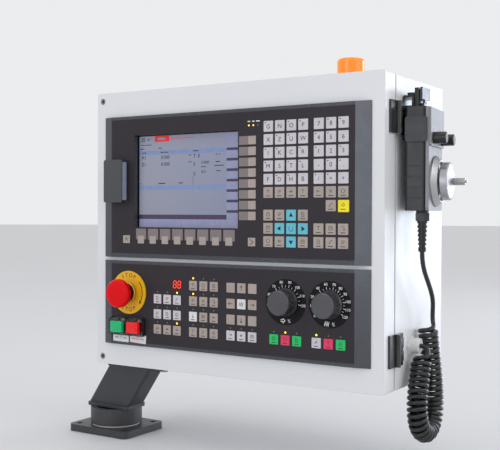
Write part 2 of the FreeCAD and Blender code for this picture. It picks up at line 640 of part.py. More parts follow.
def display_panel():
    bezel("display_bezel", "display_low", "display_top", [screen_window()])
    membrane("display_membrane", "display_low + display_film_low", "display_top - display_film_top",
             [screen_window()])
    screen = body("display_screen")
    glass = "panel_face + screen_recess"
    glass_back = glass + " + screen_glass_thick"
    grow(screen, "XZ", glass, glass_back, [screen_window("screen_lap")])
    grow(screen, "XZ", "door_front", glass_back, [screen_window("screen_lap"), screen_window()])
    tub = housing("display_housing", "display_low", "display_top", "display_housing_deep")
    grow(tub, "XZ", glass_back, "door_front + display_housing_deep - sheet_thick",
         [("disc", across("screen_left + " + x), "display_top - screen_top - " + z, "post_radius")
          for x in ("post_inset", "screen_wide - post_inset")
          for z in ("post_inset", "(screen_tall - post_inset)")])

    clamps = body("panel_clamps", groups=True)
    back = "door_front + sheet_thick"
    blocks = []
    for low, high in (("display_low", "display_top"), ("control_top - control_tall", "control_top")):
        for x in ("panel_left - clamp_overlap",
                  "panel_left + panel_wide + clamp_overlap - clamp_side"):
            for z in (low + " + clamp_inset", high + " - clamp_inset - clamp_side"):
                blocks.append(("box", x, z, x + " + clamp_side", z + " + clamp_side"))
    grow(clamps, "XZ", back, back + " + clamp_thick", blocks)


def control_panel():
    estop = (across("estop_across"), "control_top - estop_down")
    low = "control_top - control_tall"
    digits = ("box", across("digits_across"), "control_top - digits_down - digits_tall",
              across("digits_across + digits_wide"), "control_top - digits_down")
    round_holes = [("disc", *estop, "estop_barrel_radius + part_gap")]
    round_holes += [("disc", x, z, "power_stem_radius + 1") for x, z in power_spots()]
    round_holes += [("disc", x, z, "dial_bush_radius + part_gap") for x, z in dial_spots()]
    bezel("control_bezel", low, "control_top", round_holes + [digits])
    membrane("control_membrane", low + " + control_film_low", "control_top - control_film_top",
             round_holes + [digits])
    housing("control_housing", low, "control_top", "control_housing_deep")

    grow(body("digit_display"), "XZ", "panel_face + digits_sunk", "door_front + digits_deep", [digits])
    switches = body("override_switches", groups=True)
    for x, z in dial_spots():
        bore = ("disc", x, z, "dial_shaft_radius + running_gap")
        grow(switches, "XZ", "door_front", "door_front + switch_deep",
             [("disc", x, z, "switch_radius"), bore])
        grow(switches, "XZ", "panel_face - dial_bush_out", "door_front",
             [("disc", x, z, "dial_bush_radius"), bore])
    for name, (x, z) in zip(("spindle_knob", "feed_knob"), dial_spots()):
        override_knob(name, x, z)
    emergency_stop(*estop)
    power_buttons()


def override_knob(name, x, z):
    """A fluted knob moulded with its own shaft."""
    made = body(name, (x, "0", z))
    back = "panel_face - dial_gap"
    front = "panel_face - dial_reach"
    shaft_end = "panel_face + dial_shaft_deep"
    turn(made, "Y", [(shaft_end, "0"), (shaft_end, "dial_shaft_radius"),
                     (back, "dial_shaft_radius"), (back, "dial_knob_radius + dial_skirt"),
                     (back + " - dial_skirt_tall", "dial_knob_radius"),
                     (front + " + 1.5", "dial_knob_radius - 0.6"),
                     (front, "dial_knob_radius - 2"), (front, "0")])
    doc.recompute()
    groove = cut(made, "XZ", front + " - 1", back + " - dial_skirt_tall - 0.5",
                 [("disc", "0", "dial_knob_radius + dial_flute_out", "dial_flute_radius")])
    flutes = made.newObject("PartDesign::PolarPattern", name + "_flutes")
    flutes.Originals = [groove]
    flutes.Axis = (groove.Profile[0], ["N_Axis"])
    flutes.Angle = 360
    flutes.Occurrences = 24
    made.Tip = flutes


def emergency_stop(x, z):
    at = (x, "0", z)
    plate_front = "panel_face - estop_plate_thick"
    collar_front = plate_front + " - estop_collar_thick"
    turned("estop_plate", "Y", at,
           ring_profile(plate_front, "panel_face", "estop_barrel_radius + part_gap",
                        "estop_plate_radius"))
    bore = "estop_stem_radius + running_gap"
    barrel_back = "door_front + estop_barrel_deep"
    turned("estop_collar", "Y", at,
           [(collar_front, bore), (collar_front, "estop_collar_radius - 1"),
            (collar_front + " + 1", "estop_collar_radius"), (plate_front, "estop_collar_radius"),
            (plate_front, "estop_barrel_radius"), (barrel_back, "estop_barrel_radius"),
            (barrel_back, bore)])
    neck = collar_front + " - estop_travel - part_gap"
    front = "panel_face - estop_reach"
    socket = front + " + estop_socket"
    turned("estop_head", "Y", at,
           [(neck, bore), (neck, "estop_neck_radius - 1"),
            (neck + " - 1", "estop_neck_radius"),
            (front + " + estop_crown", "estop_head_radius"),
            (front + " + estop_crown_edge", "estop_head_radius"),
            (front + " + 1.2", "estop_head_radius - 2"), (front + " + 0.3", "estop_head_radius - 7"),
            (front, "0"), (socket, "0"), (socket, bore)])
    stem_back = barrel_back + " + part_gap"
    turned("estop_stem", "Y", at,
           [(socket, "0"), (stem_back, "0"),
            (stem_back, "estop_stem_radius"), (socket, "estop_stem_radius")])
    block = body("estop_contact_block", at)
    block_front = barrel_back + " + estop_block_gap + estop_travel"
    outside = ("box", "-estop_block_wide / 2", "-estop_block_tall / 2", "estop_block_wide / 2",
               "estop_block_tall / 2")
    grow(block, "XZ", block_front, block_front + " + estop_block_deep", [outside])
    grow(block, "XZ", "door_front", block_front,
         [outside, ("disc", "0", "0", "estop_barrel_radius + part_gap")])


def power_buttons():
    """Two square push-buttons on one base, each under a clear guard that hinges on a pin above it."""
    (left_x, z), (right_x, _) = power_spots()
    base = body("power_button_base")
    base_front = "panel_face - power_base_thick"
    margin = "(power_base_wide - power_pitch) / 2"
    low = z + " - power_base_tall / 2 + power_base_lift"
    grow(base, "XZ", base_front, "panel_face",
         [("soft", left_x + " - " + margin, low, right_x + " + " + margin,
           low + " + power_base_tall", "power_base_corner")]
         + [("disc", x, z, "power_stem_radius + running_gap") for x, z in power_spots()])
    ears = []
    pin_z = z + " + power_cap_tall / 2 + guard_pin_up"
    ear_out = "(power_cap_wide / 2 + guard_ear_out)"
    for x in (left_x, right_x):
        for side in (-1, 1):
            middle = "%s + %d * %s" % (x, side, ear_out)
            ears.append(("box", middle + " - guard_ear_thick / 2", pin_z + " - guard_ear_side / 2",
                         middle + " + guard_ear_thick / 2", pin_z + " + guard_ear_side / 2"))
    grow(base, "XZ", base_front + " - guard_ear_side", base_front, ears)
    pin_y = base_front + " - guard_pin_out"
    for x in (left_x, right_x):
        grow(base, "YZ", "%s - %s" % (x, ear_out), "%s + %s" % (x, ear_out),
             [("disc", pin_y, pin_z, "guard_pin_radius")])

    cap_front = "panel_face - power_reach"
    cap_back = base_front + " - power_travel - power_cap_gap"
    for name, x in (("power_on_button", left_x), ("power_off_button", right_x)):
        made = body(name, (x, "0", z))
        grow(made, "XZ", cap_front, cap_back,
             [("soft", "-power_cap_wide / 2", "-power_cap_tall / 2", "power_cap_wide / 2",
               "power_cap_tall / 2", "power_cap_corner")])
        grow(made, "XZ", cap_back, "door_front + power_stem_deep",
             [("disc", "0", "0", "power_stem_radius")])

    inside = "power_cap_wide / 2 + guard_inside"
    outside = inside + " + guard_wall"
    low_inside = "-power_cap_tall / 2 - guard_low_inside"
    front = cap_front + " - guard_cover"
    back = base_front + " - guard_foot_gap"
    for name, x in (("power_on_guard", left_x), ("power_off_guard", right_x)):
        made = body(name, (x, "0", z))
        grow(made, "XZ", front, back,
             [("soft", "-(%s)" % outside, low_inside + " - guard_wall", outside,
               "power_cap_tall / 2 + guard_high", "power_cap_corner")])
        cut(made, "XZ", front + " + guard_wall", back,
            [("box", "-(%s)" % inside, low_inside, inside, "power_cap_tall / 2 + guard_high_inside")])
        cut(made, "YZ", "-(%s)" % outside, outside,
            [("disc", pin_y, "power_cap_tall / 2 + guard_pin_up", "guard_pin_radius + running_gap")])


def interface_flap():
    """The cover over the panel's interface ports, on a hinge pin down its left side."""
    x, z = across("flap_across"), "display_top - flap_down"
    low, right = z + " - flap_tall", x + " + flap_wide"
    frame = body("interface_frame")
    front = "panel_face - flap_frame_thick"
    grow(frame, "XZ", front, "panel_face",
         [("box", x, low, right, z),
          ("box", x + " + flap_port_left", low + " + flap_port_end", right + " - flap_port_right",
           z + " - flap_port_end")])
    pin_low, pin_high = low + " + flap_ear_low", z + " - flap_ear_low"
    for ear_low in (pin_low, pin_high + " - flap_ear_thick"):
        grow(frame, "XY", ear_low, ear_low + " + flap_ear_thick",
             [("box", x + " + flap_ear_left", front + " - flap_ear_out", x + " + flap_ear_right", front)])
    pin = (x + " + flap_pin_across", front + " - flap_pin_out")
    grow(frame, "XY", pin_low, pin_high, [("disc", *pin, "flap_pin_radius")])

    flap = body("interface_cover")
    outer = "panel_face - flap_reach"
    back = front + " - part_gap"
    grow(flap, "XZ", outer, back, [("soft", x, low, right, z, "flap_corner")])
    cut(flap, "XZ", outer + " + flap_wall", back,
        [("box", x + " + flap_relief", low + " + flap_wall", right + " - flap_wall",
          z + " - flap_wall")])
    cut(flap, "XZ", front + " - flap_relief_deep", back + " + 0.1",
        [("box", x + " - 0.1", low + " - 0.1", x + " + flap_relief", z + " + 0.1")])
    for notch_low in (low, z + " - flap_notch_tall"):
        cut(flap, "XY", notch_low + " - 0.1", notch_low + " + flap_notch_tall + 0.1",
            [("box", x + " - 0.1", front + " - flap_notch_out", x + " + flap_notch_right", front)])
    cut(flap, "XY", low, z, [("disc", *pin, "flap_pin_radius + running_gap")])


# ------------------------------------------------------------------ hand pendant

PENDANT_AT = ("pendant_x", "pendant_y", "pendant_z")


def on_pendant(along_x, along_y, along_z):
    """The place of a point of the pendant's own frame: outwards, along its width, and up."""
    x = "pendant_x + (%s) * cos(pendant_turn * 1 deg) - (%s) * sin(pendant_turn * 1 deg)"
    y = "pendant_y + (%s) * sin(pendant_turn * 1 deg) + (%s) * cos(pendant_turn * 1 deg)"
    return x % (along_x, along_y), y % (along_x, along_y), "pendant_z + " + along_z


def pendant_case():
    case = body("pendant_housing", PENDANT_AT, "pendant_turn")
    grow(case, "XY", "0", "pendant_tall",
         [("soft", "-pendant_thick", "0", "-face_thick", "pendant_wide", "pendant_corner")])
    cut(case, "XY", "pendant_wall", "pendant_tall - pendant_wall",
        [("box", "-pendant_thick + pendant_wall", "pendant_wall", "-face_thick + 0.01",
          "pendant_wide - pendant_wall")])
    cut(case, "XZ", "-1", "pendant_wall + 1",
        [("box", "-pendant_thick / 2 - enable_stem / 2 - part_gap",
          "enable_low + (enable_tall - enable_stem) / 2 - part_gap",
          "-pendant_thick / 2 + enable_stem / 2 + part_gap",
          "enable_low + (enable_tall + enable_stem) / 2 + part_gap")])
    for step in range(4):
        level = "grip_groove_low + %d * grip_groove_pitch" % step
        cut(case, "XZ", "-1", "grip_groove_deep",
            [("box", "-pendant_thick + grip_groove_left", level, "-face_thick - grip_groove_right",
              level + " + grip_groove_tall")])

    face = body("pendant_face", PENDANT_AT, "pendant_turn")
    shaft_hole = ("disc", "pendant_wide / 2", "wheel_up", "wheel_hole_radius")
    selector_holes = [("disc", y, "selector_up", "selector_shaft_radius + part_gap")
                      for y in ("selector_inset", "pendant_wide - selector_inset")]
    grow(face, "YZ", "-face_thick", "0",
         [("soft", "0", "0", "pendant_wide", "pendant_tall", "pendant_corner"), shaft_hole]
         + selector_holes)
    grow(face, "YZ", "0", "face_step",
         [("soft", "face_step_inset", "pendant_tall - face_step_tall",
           "pendant_wide - face_step_inset", "pendant_tall - face_step_inset",
           "pendant_corner - face_step_inset")] + selector_holes)


def pendant_controls():
    foot = "face_step + part_gap"
    tip = foot + " + selector_long"
    shaft_end = "-face_thick - selector_shaft_deep"
    for name, y in (("axis_knob", "selector_inset"), ("step_knob", "pendant_wide - selector_inset")):
        turned(name, "X", on_pendant("0", y, "selector_up"),
               [(shaft_end, "0"), (tip, "0"), (tip, "selector_radius - 1"),
                (tip + " - 1", "selector_radius"), (foot, "selector_radius"),
                (foot, "selector_shaft_radius"), (shaft_end, "selector_shaft_radius")],
               "pendant_turn")
    hub = on_pendant("0", "pendant_wide / 2", "wheel_up")
    turned("handwheel_bezel", "X", hub,
           [("0", "wheel_hole_radius"), ("bezel_tall - bezel_step", "wheel_hole_radius"),
            ("bezel_tall - bezel_step", "bezel_radius - 9"), ("bezel_tall", "bezel_radius - 7"),
            ("bezel_tall", "bezel_radius - 5.5"), ("2", "bezel_radius"), ("0", "bezel_radius")],
           "pendant_turn")
    wheel_back = "bezel_tall + wheel_gap"
    wheel_front = wheel_back + " + wheel_thick"
    axle_end = "-face_thick - wheel_shaft_deep"
    wheel = turned("handwheel", "X", hub,
                   [(axle_end, "0"), (wheel_front, "0"), (wheel_front, "wheel_radius - 1"),
                    (wheel_front + " - 1", "wheel_radius"), (wheel_back + " + 1", "wheel_radius"),
                    (wheel_back, "wheel_radius - 1"), (wheel_back, "wheel_shaft_radius"),
                    (axle_end, "wheel_shaft_radius")], "pendant_turn")
    grow(wheel, "YZ", wheel_front, wheel_front + " + crank_cap_tall + crank_long",
         [("disc", "crank_throw", "0", "crank_pin_radius")])
    crank = on_pendant("0", "pendant_wide / 2 + crank_throw", "wheel_up")
    grip_low = wheel_front + " + crank_gap"
    grip_high = wheel_front + " + crank_long - crank_cap_tall"
    grip_bore = "crank_pin_radius + running_gap"
    turned("crank_grip", "X", crank,
           [(grip_low, grip_bore), (grip_high, grip_bore), (grip_high, "crank_radius - crank_edge"),
            (grip_high + " - crank_edge", "crank_radius"), (grip_low, "crank_radius")],
           "pendant_turn")
    turned("handwheel_encoder", "X", hub,
           ring_profile("-pendant_thick + pendant_wall + encoder_gap", "-face_thick",
                        "wheel_shaft_radius + running_gap", "encoder_radius"), "pendant_turn")

    button = body("enable_button", PENDANT_AT, "pendant_turn")
    middle_x = "-pendant_thick / 2 - enable_shift"
    grow(button, "XZ", "-enable_reach", "-enable_reach + enable_thick",
         [("soft", middle_x + " - enable_wide / 2", "enable_low", middle_x + " + enable_wide / 2",
           "enable_low + enable_tall", "4")])
    middle_z = "enable_low + enable_tall / 2"
    grow(button, "XZ", "-enable_reach + enable_thick", "pendant_wall + enable_stem_deep",
         [("box", "-pendant_thick / 2 - enable_stem / 2", middle_z + " - enable_stem / 2",
           "-pendant_thick / 2 + enable_stem / 2", middle_z + " + enable_stem / 2")])


def pendant_hanger():
    """The bracket on the cabinet's wall and the pendant's hook that hangs over it."""
    bracket = body("hanger_bracket")
    low = "pendant_z + pendant_tall + part_gap"
    high = low + " + hanger_tall"
    near = "pendant_y + hanger_back"
    far = near + " + hanger_wide"
    outer = "cabinet_right + hanger_out"
    grow(bracket, "XZ", near, far, [("soft", "cabinet_right", low, outer, high, "hanger_wall")])
    cut(bracket, "XZ", near + " - 1", far + " + 1",
        [("box", "cabinet_right + hanger_wall", low + " + hanger_wall",
          outer + " - hanger_front_wall", high + " - hanger_wall")])
    grow(bracket, "XZ", near, far,
         [("box", "cabinet_right", low + " - hanger_plate_tall", "cabinet_right + hanger_plate_thick",
           low + " + hanger_wall + 0.5")])
    hook = body("hanger_hook")
    face = outer + " + part_gap"
    face_out = face + " + hook_thick"
    bar_low, bar_high = high + " + part_gap", high + " + part_gap + hook_bar"
    grow(hook, "XZ", near + " + 2", far,
         [("line", [(face, low + " - part_gap"), (face_out, low + " - part_gap"),
                    (face_out, high + " + hook_up"), (face, high + " + hook_up"),
                    (face, bar_high), ("cabinet_right + hook_left", bar_high),
                    ("cabinet_right + hook_left", bar_low), (face, bar_low)])])
    latch = face_out + " + latch_gap"
    latch_out = latch + " + latch_thick"
    arm_high = low + " + latch_low + latch_arm"
    grow(hook, "XZ", near + " + 8", near + " + 16",
         [("box", face_out, low + " + latch_low", latch + " + 2", arm_high)])
    grow(hook, "XZ", near + " + 8", near + " + 16",
         [("box", latch, arm_high, latch_out, low + " + latch_step")])
    grow(hook, "XZ", near + " - 1", near + " + 25",
         [("box", latch, low + " + latch_step", latch_out, low + " + latch_tall")])


# ------------------------------------------------------------------ cable glands and cord

def relief_profile():
    """Corners of the strain relief: a ribbed taper with a plain collar at its lower end."""
    top, ribs = "-pendant_gland_tall", 6
    pitch = "relief_tall / %d" % (ribs + 1)
    corners = [(top + " - relief_tall", "0"), (top + " - relief_tall", "relief_low_radius"),
               (top + " - relief_tall + " + pitch, "relief_low_radius")]
    for rib in range(1, ribs + 1):
        radius = "(relief_low_radius + (relief_high_radius - relief_low_radius) * %d / %d)" % (rib, ribs)
        low = "%s - relief_tall + %d * %s" % (top, rib, pitch)
        corners += [(low, radius + " - relief_groove_deep"),
                    (low + " + %s / 2" % pitch, radius + " - relief_groove_deep"),
                    (low + " + %s / 2" % pitch, radius), (low + " + " + pitch, radius)]
    return corners + [(top, "0")]


def glands():
    foot = on_pendant("-pendant_thick / 2", "pendant_gland_back", "0")
    nut = body("pendant_gland", foot, "pendant_turn")
    grow(nut, "XY", "-pendant_gland_neck", "0", [("disc", "0", "0", "pendant_gland_radius")])
    grow(nut, "XY", "-pendant_gland_tall", "-pendant_gland_neck",
         [("line", hexagon("0", "0", "pendant_gland_radius + pendant_gland_flat"))])
    turned("strain_relief", "Z", foot, relief_profile(), "pendant_turn")

    gland = body("cabinet_gland", ("cabinet_right", "gland_y", "gland_z"))
    flats = ("line", hexagon("0", "0", "gland_hex_radius"))
    grow(gland, "YZ", "0", "gland_hex_tall", [flats])
    grow(gland, "YZ", "gland_hex_tall", "gland_long", [("disc", "0", "0", "gland_radius")])
    grow(gland, "YZ", "-sheet_thick - gland_stem_deep", "0", [("disc", "0", "0", "gland_stem_radius")])
    grow(gland, "YZ", "-sheet_thick - gland_nut_tall", "-sheet_thick", [flats])


# The cord's route: from the pendant's strain relief down to the coil's top, ...
LEAD_ROUTE = [(473.7, 25.8, 277), (473.7, 25.8, 267), (474.2, 32, 252), (474.6, 44, 238),
              (474.4, 57, 223), (472.8, 67.5, 209), (469.8, 73, 194.5), (467, 74.4, 179.7)]
# ... down and up again through the coil's hanging loop, from the gland's side to the pendant's, ...
COIL_ROUTE = [(470, 36, 143), (470.5, 28, 121), (471.5, 18, 99), (472.5, 14, 76), (473, 22, 56),
              (473.5, 41, 46), (473.5, 60, 54), (473, 70, 74), (472, 71, 98), (470.4, 69.4, 122),
              (468.4, 66.8, 148), (466.6, 64.2, 179)]
# ... and from the coil's other end into the cabinet's gland.
TAIL_ROUTE = [(466, 40, 157), (474, 40, 157), (480, 40, 152), (480.5, 39, 142.4)]


def rounded_route(points):
    """Straight runs joined by tangent arcs, each as large as its two runs allow, and the arcs' radii."""
    corners = [FreeCAD.Vector(*point) for point in points]
    edges, radii = [], []
    start = corners[0]
    for before, corner, after in zip(corners, corners[1:], corners[2:]):
        inward, outward = corner - before, after - corner
        half_turn = inward.getAngle(outward) / 2
        reach = 0.45 * min(inward.Length, outward.Length)
        radii.append(reach / math.tan(half_turn))
        first = corner - inward.normalize() * reach
        last = corner + outward.normalize() * reach
        bisector = (outward - inward).normalize()
        centre = corner + bisector * (radii[-1] / math.cos(half_turn))
        middle = centre - bisector * radii[-1]
        edges.append(Part.LineSegment(start, first).toShape())
        edges.append(Part.Arc(first, middle, last).toShape())
        start = last
    edges.append(Part.LineSegment(start, corners[-1]).toShape())
    return Part.Wire(edges), radii


def cord_piece(name, points, radius):
    """A round tube along a route, with its volume checked against section times length."""
    path, radii = rounded_route(points)
    heading = FreeCAD.Vector(*points[1]) - FreeCAD.Vector(*points[0])
    ring = Part.Circle(FreeCAD.Vector(*points[0]), heading, value(radius))
    tube = path.makePipeShell([Part.Wire(ring.toShape())], True, False)
    expected = math.pi * value(radius) ** 2 * path.Length
    if abs(tube.Volume / expected - 1) > 0.01:
        raise RuntimeError("%s: volume %.0f, expected %.0f" % (name, tube.Volume, expected))
    made = doc.addObject("Part::Feature", name)
    made.Label = name
    made.Shape = tube
    made.Placement = FreeCAD.Placement()
    keep(made)
    print("%s: %.0f mm long, radii %s mm" % (name, path.Length, [round(radius) for radius in radii]))


def cord():
    cord_piece("cord_lead", LEAD_ROUTE, "cord_radius")
    cord_piece("cord_coil", COIL_ROUTE, "coil_radius")
    cord_piece("cord_tail", TAIL_ROUTE, "cord_radius")


# ------------------------------------------------------------------ beacon

def beacon():
    at = ("beacon_x", "beacon_y", "cabinet_top")
    stem_low = "-sheet_thick - beacon_stem_deep"
    rim = "beacon_radius + beacon_base_proud"
    turned("beacon_base", "Z", at,
           [(stem_low, "0"), (stem_low, "beacon_stem_radius"), ("0", "beacon_stem_radius"), ("0", rim),
            ("beacon_base_tall - 1", rim), ("beacon_base_tall", "beacon_radius"),
            ("beacon_base_tall", "0")])
    inner = "beacon_radius - beacon_wall"
    ceiling = "beacon_tall - beacon_wall"
    turned("beacon_lens", "Z", at,
           [("beacon_base_tall", inner), ("beacon_base_tall", "beacon_radius"),
            ("beacon_tall - beacon_shoulder", "beacon_radius"),
            ("beacon_tall - beacon_edge", "beacon_radius - beacon_edge"),
            ("beacon_tall", "beacon_radius - beacon_shoulder"), ("beacon_tall", "0"),
            (ceiling, "0"), (ceiling, "beacon_radius - 6"), (ceiling + " - 2", inner)])


# ------------------------------------------------------------------ build, check and write

def build():
    base_and_swivel()
    support_arm()
    cabinet()
    hinges()
    door()
    display_panel()
    control_panel()
    interface_flap()
    pendant_case()
    pendant_controls()
    pendant_hanger()
    glands()
    cord()
    beacon()
    doc.recompute()


def check_and_write():
    for item in doc.Objects:
        if "Invalid" in item.State or "Error" in item.State:
            raise RuntimeError("%s failed: %s" % (item.Label, item.State))
    for piece in kept:
        if piece.Shape.isNull() or not piece.Shape.isValid() or not piece.Shape.Solids:
            raise RuntimeError("%s has no valid solid" % piece.Label)
    os.makedirs("parts", exist_ok=True)
    for piece in kept:
        piece.Shape.exportStep("parts/%s.step" % piece.Label)
    print("%d sub-parts written" % len(kept))


build()
check_and_write()
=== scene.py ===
"""Looks of a CNC lathe's operator console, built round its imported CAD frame.

Metres, in the row frame: +X is the operator's right, +Y away from the operator, +Z up.
What stands on a panel is drawn in millimetres on that panel's seat: x to the right, y up, and
z out of the panel towards the operator.
"""

import json
import math

import bmesh
import bpy
import numpy as np
from mathutils import Matrix, Vector


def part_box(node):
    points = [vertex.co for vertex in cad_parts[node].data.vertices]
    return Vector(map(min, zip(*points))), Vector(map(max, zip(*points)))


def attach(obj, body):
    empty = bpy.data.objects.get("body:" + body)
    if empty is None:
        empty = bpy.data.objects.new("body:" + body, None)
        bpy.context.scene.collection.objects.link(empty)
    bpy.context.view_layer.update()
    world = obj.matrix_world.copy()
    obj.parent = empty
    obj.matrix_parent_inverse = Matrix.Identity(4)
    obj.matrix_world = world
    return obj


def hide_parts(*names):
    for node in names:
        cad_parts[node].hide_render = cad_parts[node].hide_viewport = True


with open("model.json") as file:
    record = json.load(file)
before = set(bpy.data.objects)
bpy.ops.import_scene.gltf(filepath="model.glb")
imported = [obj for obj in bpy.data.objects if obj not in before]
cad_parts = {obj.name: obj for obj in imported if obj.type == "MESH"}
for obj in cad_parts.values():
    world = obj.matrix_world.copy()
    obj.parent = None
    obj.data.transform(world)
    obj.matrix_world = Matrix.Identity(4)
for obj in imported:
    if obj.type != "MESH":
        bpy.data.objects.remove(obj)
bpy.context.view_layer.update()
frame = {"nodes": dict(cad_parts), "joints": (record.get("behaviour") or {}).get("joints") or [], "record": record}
NODES = frame["nodes"]
JOINTS = {joint["name"]: joint for joint in frame["joints"]}
MM = 0.001


# ------------------------------------------------------------------ seats

def seat(origin, right, out):
    """The plane that small pieces stand on, as a matrix from its millimetres to the row frame."""
    right, out = Vector(right).normalized(), Vector(out).normalized()
    up = out.cross(right)
    turned = Matrix((right, up, out)).transposed().to_4x4()
    return Matrix.Translation(Vector(origin)) @ turned @ Matrix.Scale(MM, 4)


def reach(node, direction, axis_point=None, beyond=0.0):
    """How far a CAD node reaches along a direction.

    With an axis point, only what lies beyond a distance from the line through it is looked at.
    """
    points = [vertex.co for vertex in NODES[node].data.vertices]
    if axis_point is not None:
        points = [point for point in points
                  if (point - axis_point).cross(direction).length > beyond]
    return max(point.dot(direction) for point in points)


RIGHT, FRONT, UP = Vector((1, 0, 0)), Vector((0, -1, 0)), Vector((0, 0, 1))
PANEL_LOW, PANEL_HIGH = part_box("display_bezel")
PANEL_CORNER = Vector((PANEL_LOW.x, -reach("display_membrane", FRONT), PANEL_HIGH.z))
PANEL = seat(PANEL_CORNER, RIGHT, FRONT)
GLASS_THICK = 3 * MM        # the display window's glass; the picture stands on its back
SCREEN_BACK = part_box("display_screen")[1].y


def across_down(point):
    """A point of the row frame as millimetres across and down from the display panel's corner."""
    offset = Vector(point) - PANEL_CORNER
    return offset.x / MM, -offset.z / MM


# ------------------------------------------------------------------ shapes, as (points, faces)

INK = 0.06              # thickness of print
KEY_RISE = 0.9          # how far a key stands up from the film
KEY_DISH = 0.08         # how far its middle is dished
MITRE_LEAST = 0.35      # keeps the corner of a sharply bent line from running far out


def outline(width, height, corner, steps=3):
    """A rectangle with round corners about the origin, as points going round it."""
    points = []
    for side_x, side_y, start in ((1, 1, 0), (-1, 1, 90), (-1, -1, 180), (1, -1, 270)):
        for step in range(steps + 1):
            angle = math.radians(start + 90 * step / steps)
            points.append((side_x * (width / 2 - corner) + corner * math.cos(angle),
                           side_y * (height / 2 - corner) + corner * math.sin(angle)))
    return points


def circle(radius, count=32, start=0.0):
    """Points of a circle about the origin."""
    turns = [start + math.tau * i / count for i in range(count)]
    return [(radius * math.cos(turn), radius * math.sin(turn)) for turn in turns]


def stacked(rings, closed=False):
    """Rings of equally many points joined in turn; their ends are capped, or joined to each other."""
    count = len(rings[0])
    points = [point for ring in rings for point in ring]
    faces = []
    for level in range(len(rings) - (not closed)):
        low, high = level * count, (level + 1) % len(rings) * count
        faces += [(low + i, low + (i + 1) % count, high + (i + 1) % count, high + i)
                  for i in range(count)]
    if not closed:
        faces.append(tuple(reversed(range(count))))
        faces.append(tuple(range(len(points) - count, len(points))))
    return points, faces


def lifted(shape, x, y, z):
    """A flat outline as a ring of points at a place and height."""
    return [(x + px, y + py, z) for px, py in shape]


def pad(x, y, width, height, rise=KEY_RISE, corner=0.9, soft=0.45):
    """A key whose top left corner is at (x, y), with softened edges and a slight dish."""
    middle = (x + width / 2, y - height / 2)
    full = outline(width, height, corner)
    eased = outline(width - soft * 0.6, height - soft * 0.6, corner)
    top = outline(width - 2 * soft, height - 2 * soft, corner * 0.8)
    dish = outline(width - 5 * soft, height - 5 * soft, corner * 0.6)
    return stacked([lifted(full, *middle, 0), lifted(full, *middle, rise - soft),
                    lifted(eased, *middle, rise - soft * 0.3), lifted(top, *middle, rise),
                    lifted(dish, *middle, rise - KEY_DISH)])


def plate(x, y, width, height, low, high, corner=0.01, turn=0.0):
    """A thin flat plate whose middle is at (x, y)."""
    c, s = math.cos(turn), math.sin(turn)
    shape = [(px * c - py * s, px * s + py * c) for px, py in outline(width, height, corner, 2)]
    return stacked([lifted(shape, x, y, low), lifted(shape, x, y, high)])


def ribbon(points, width, low, closed=False):
    """A printed line of even width with mitred corners."""
    line = [Vector(point) for point in points]
    count = len(line)
    sides = []
    for i, here in enumerate(line):
        before = line[i - 1] if i or closed else None
        after = line[(i + 1) % count] if i < count - 1 or closed else None
        ways = [(b - a).normalized() for a, b in ((before, here), (here, after))
                if a is not None and b is not None]
        normals = [Vector((-way.y, way.x)) for way in ways]
        normal = (normals[0] + normals[-1]).normalized()
        sides.append(normal * (width / 2 / max(MITRE_LEAST, normal.dot(normals[0]))))
    rings = [[(*(p + s), low), (*(p - s), low), (*(p - s), low + INK), (*(p + s), low + INK)]
             for p, s in zip(line, sides)]
    return stacked(rings, closed)


def dome(x, y, radius, low, rise, count=16):
    """A small round lamp."""
    levels = [(1.0, 0.0), (1.0, 0.35), (0.86, 0.7), (0.5, 0.93), (0.15, 1.0)]
    return stacked([lifted(circle(radius * share, count), x, y, low + rise * level)
                    for share, level in levels])


def washer(x, y, inner, outer, low, high, count=72):
    """A flat ring with a small bevel round its outer edge."""
    ease = min(0.15, (high - low) / 2)
    profile = [(inner, low), (outer, low), (outer, high - ease), (outer - ease, high), (inner, high)]
    rings = [lifted(circle(radius, count), x, y, level) for radius, level in profile]
    return stacked(rings, closed=True)


def round_point(x, y, radius, degrees):
    """A point on a circle; the angle is clockwise from straight up."""
    angle = math.radians(degrees)
    return x + radius * math.sin(angle), y + radius * math.cos(angle)


def arc(x, y, radius, first, last, steps=16):
    """Points along an arc, by the same angles."""
    return [round_point(x, y, radius, first + (last - first) * i / steps) for i in range(steps + 1)]


def lettering(text, x, y, size, low):
    """Letters or digits about a middle point."""
    curve = bpy.data.curves.new("type", "FONT")
    curve.body = text
    curve.size = size
    curve.align_x, curve.align_y = "CENTER", "CENTER"
    curve.extrude = INK / 2
    curve.resolution_u = 3
    holder = bpy.data.objects.new("type", curve)
    mesh = bpy.data.meshes.new_from_object(holder)
    points = [(x + v.co.x, y + v.co.y, low + INK / 2 + v.co.z) for v in mesh.vertices]
    faces = [tuple(face.vertices) for face in mesh.polygons]
    bpy.data.objects.remove(holder)
    bpy.data.curves.remove(curve)
    bpy.data.meshes.remove(mesh)
    return points, faces


def turned_sign(text, x, y, size, degrees, low=0.0):
    """A letter turned clockwise about its own middle."""
    points, faces = lettering(text, 0, 0, size, low)
    c, s = math.cos(math.radians(degrees)), math.sin(math.radians(degrees))
    return [(x + px * c + py * s, y - px * s + py * c, pz) for px, py, pz in points], faces


ROUND = tuple((math.sin(math.tau * i / 12), math.cos(math.tau * i / 12)) for i in range(13))
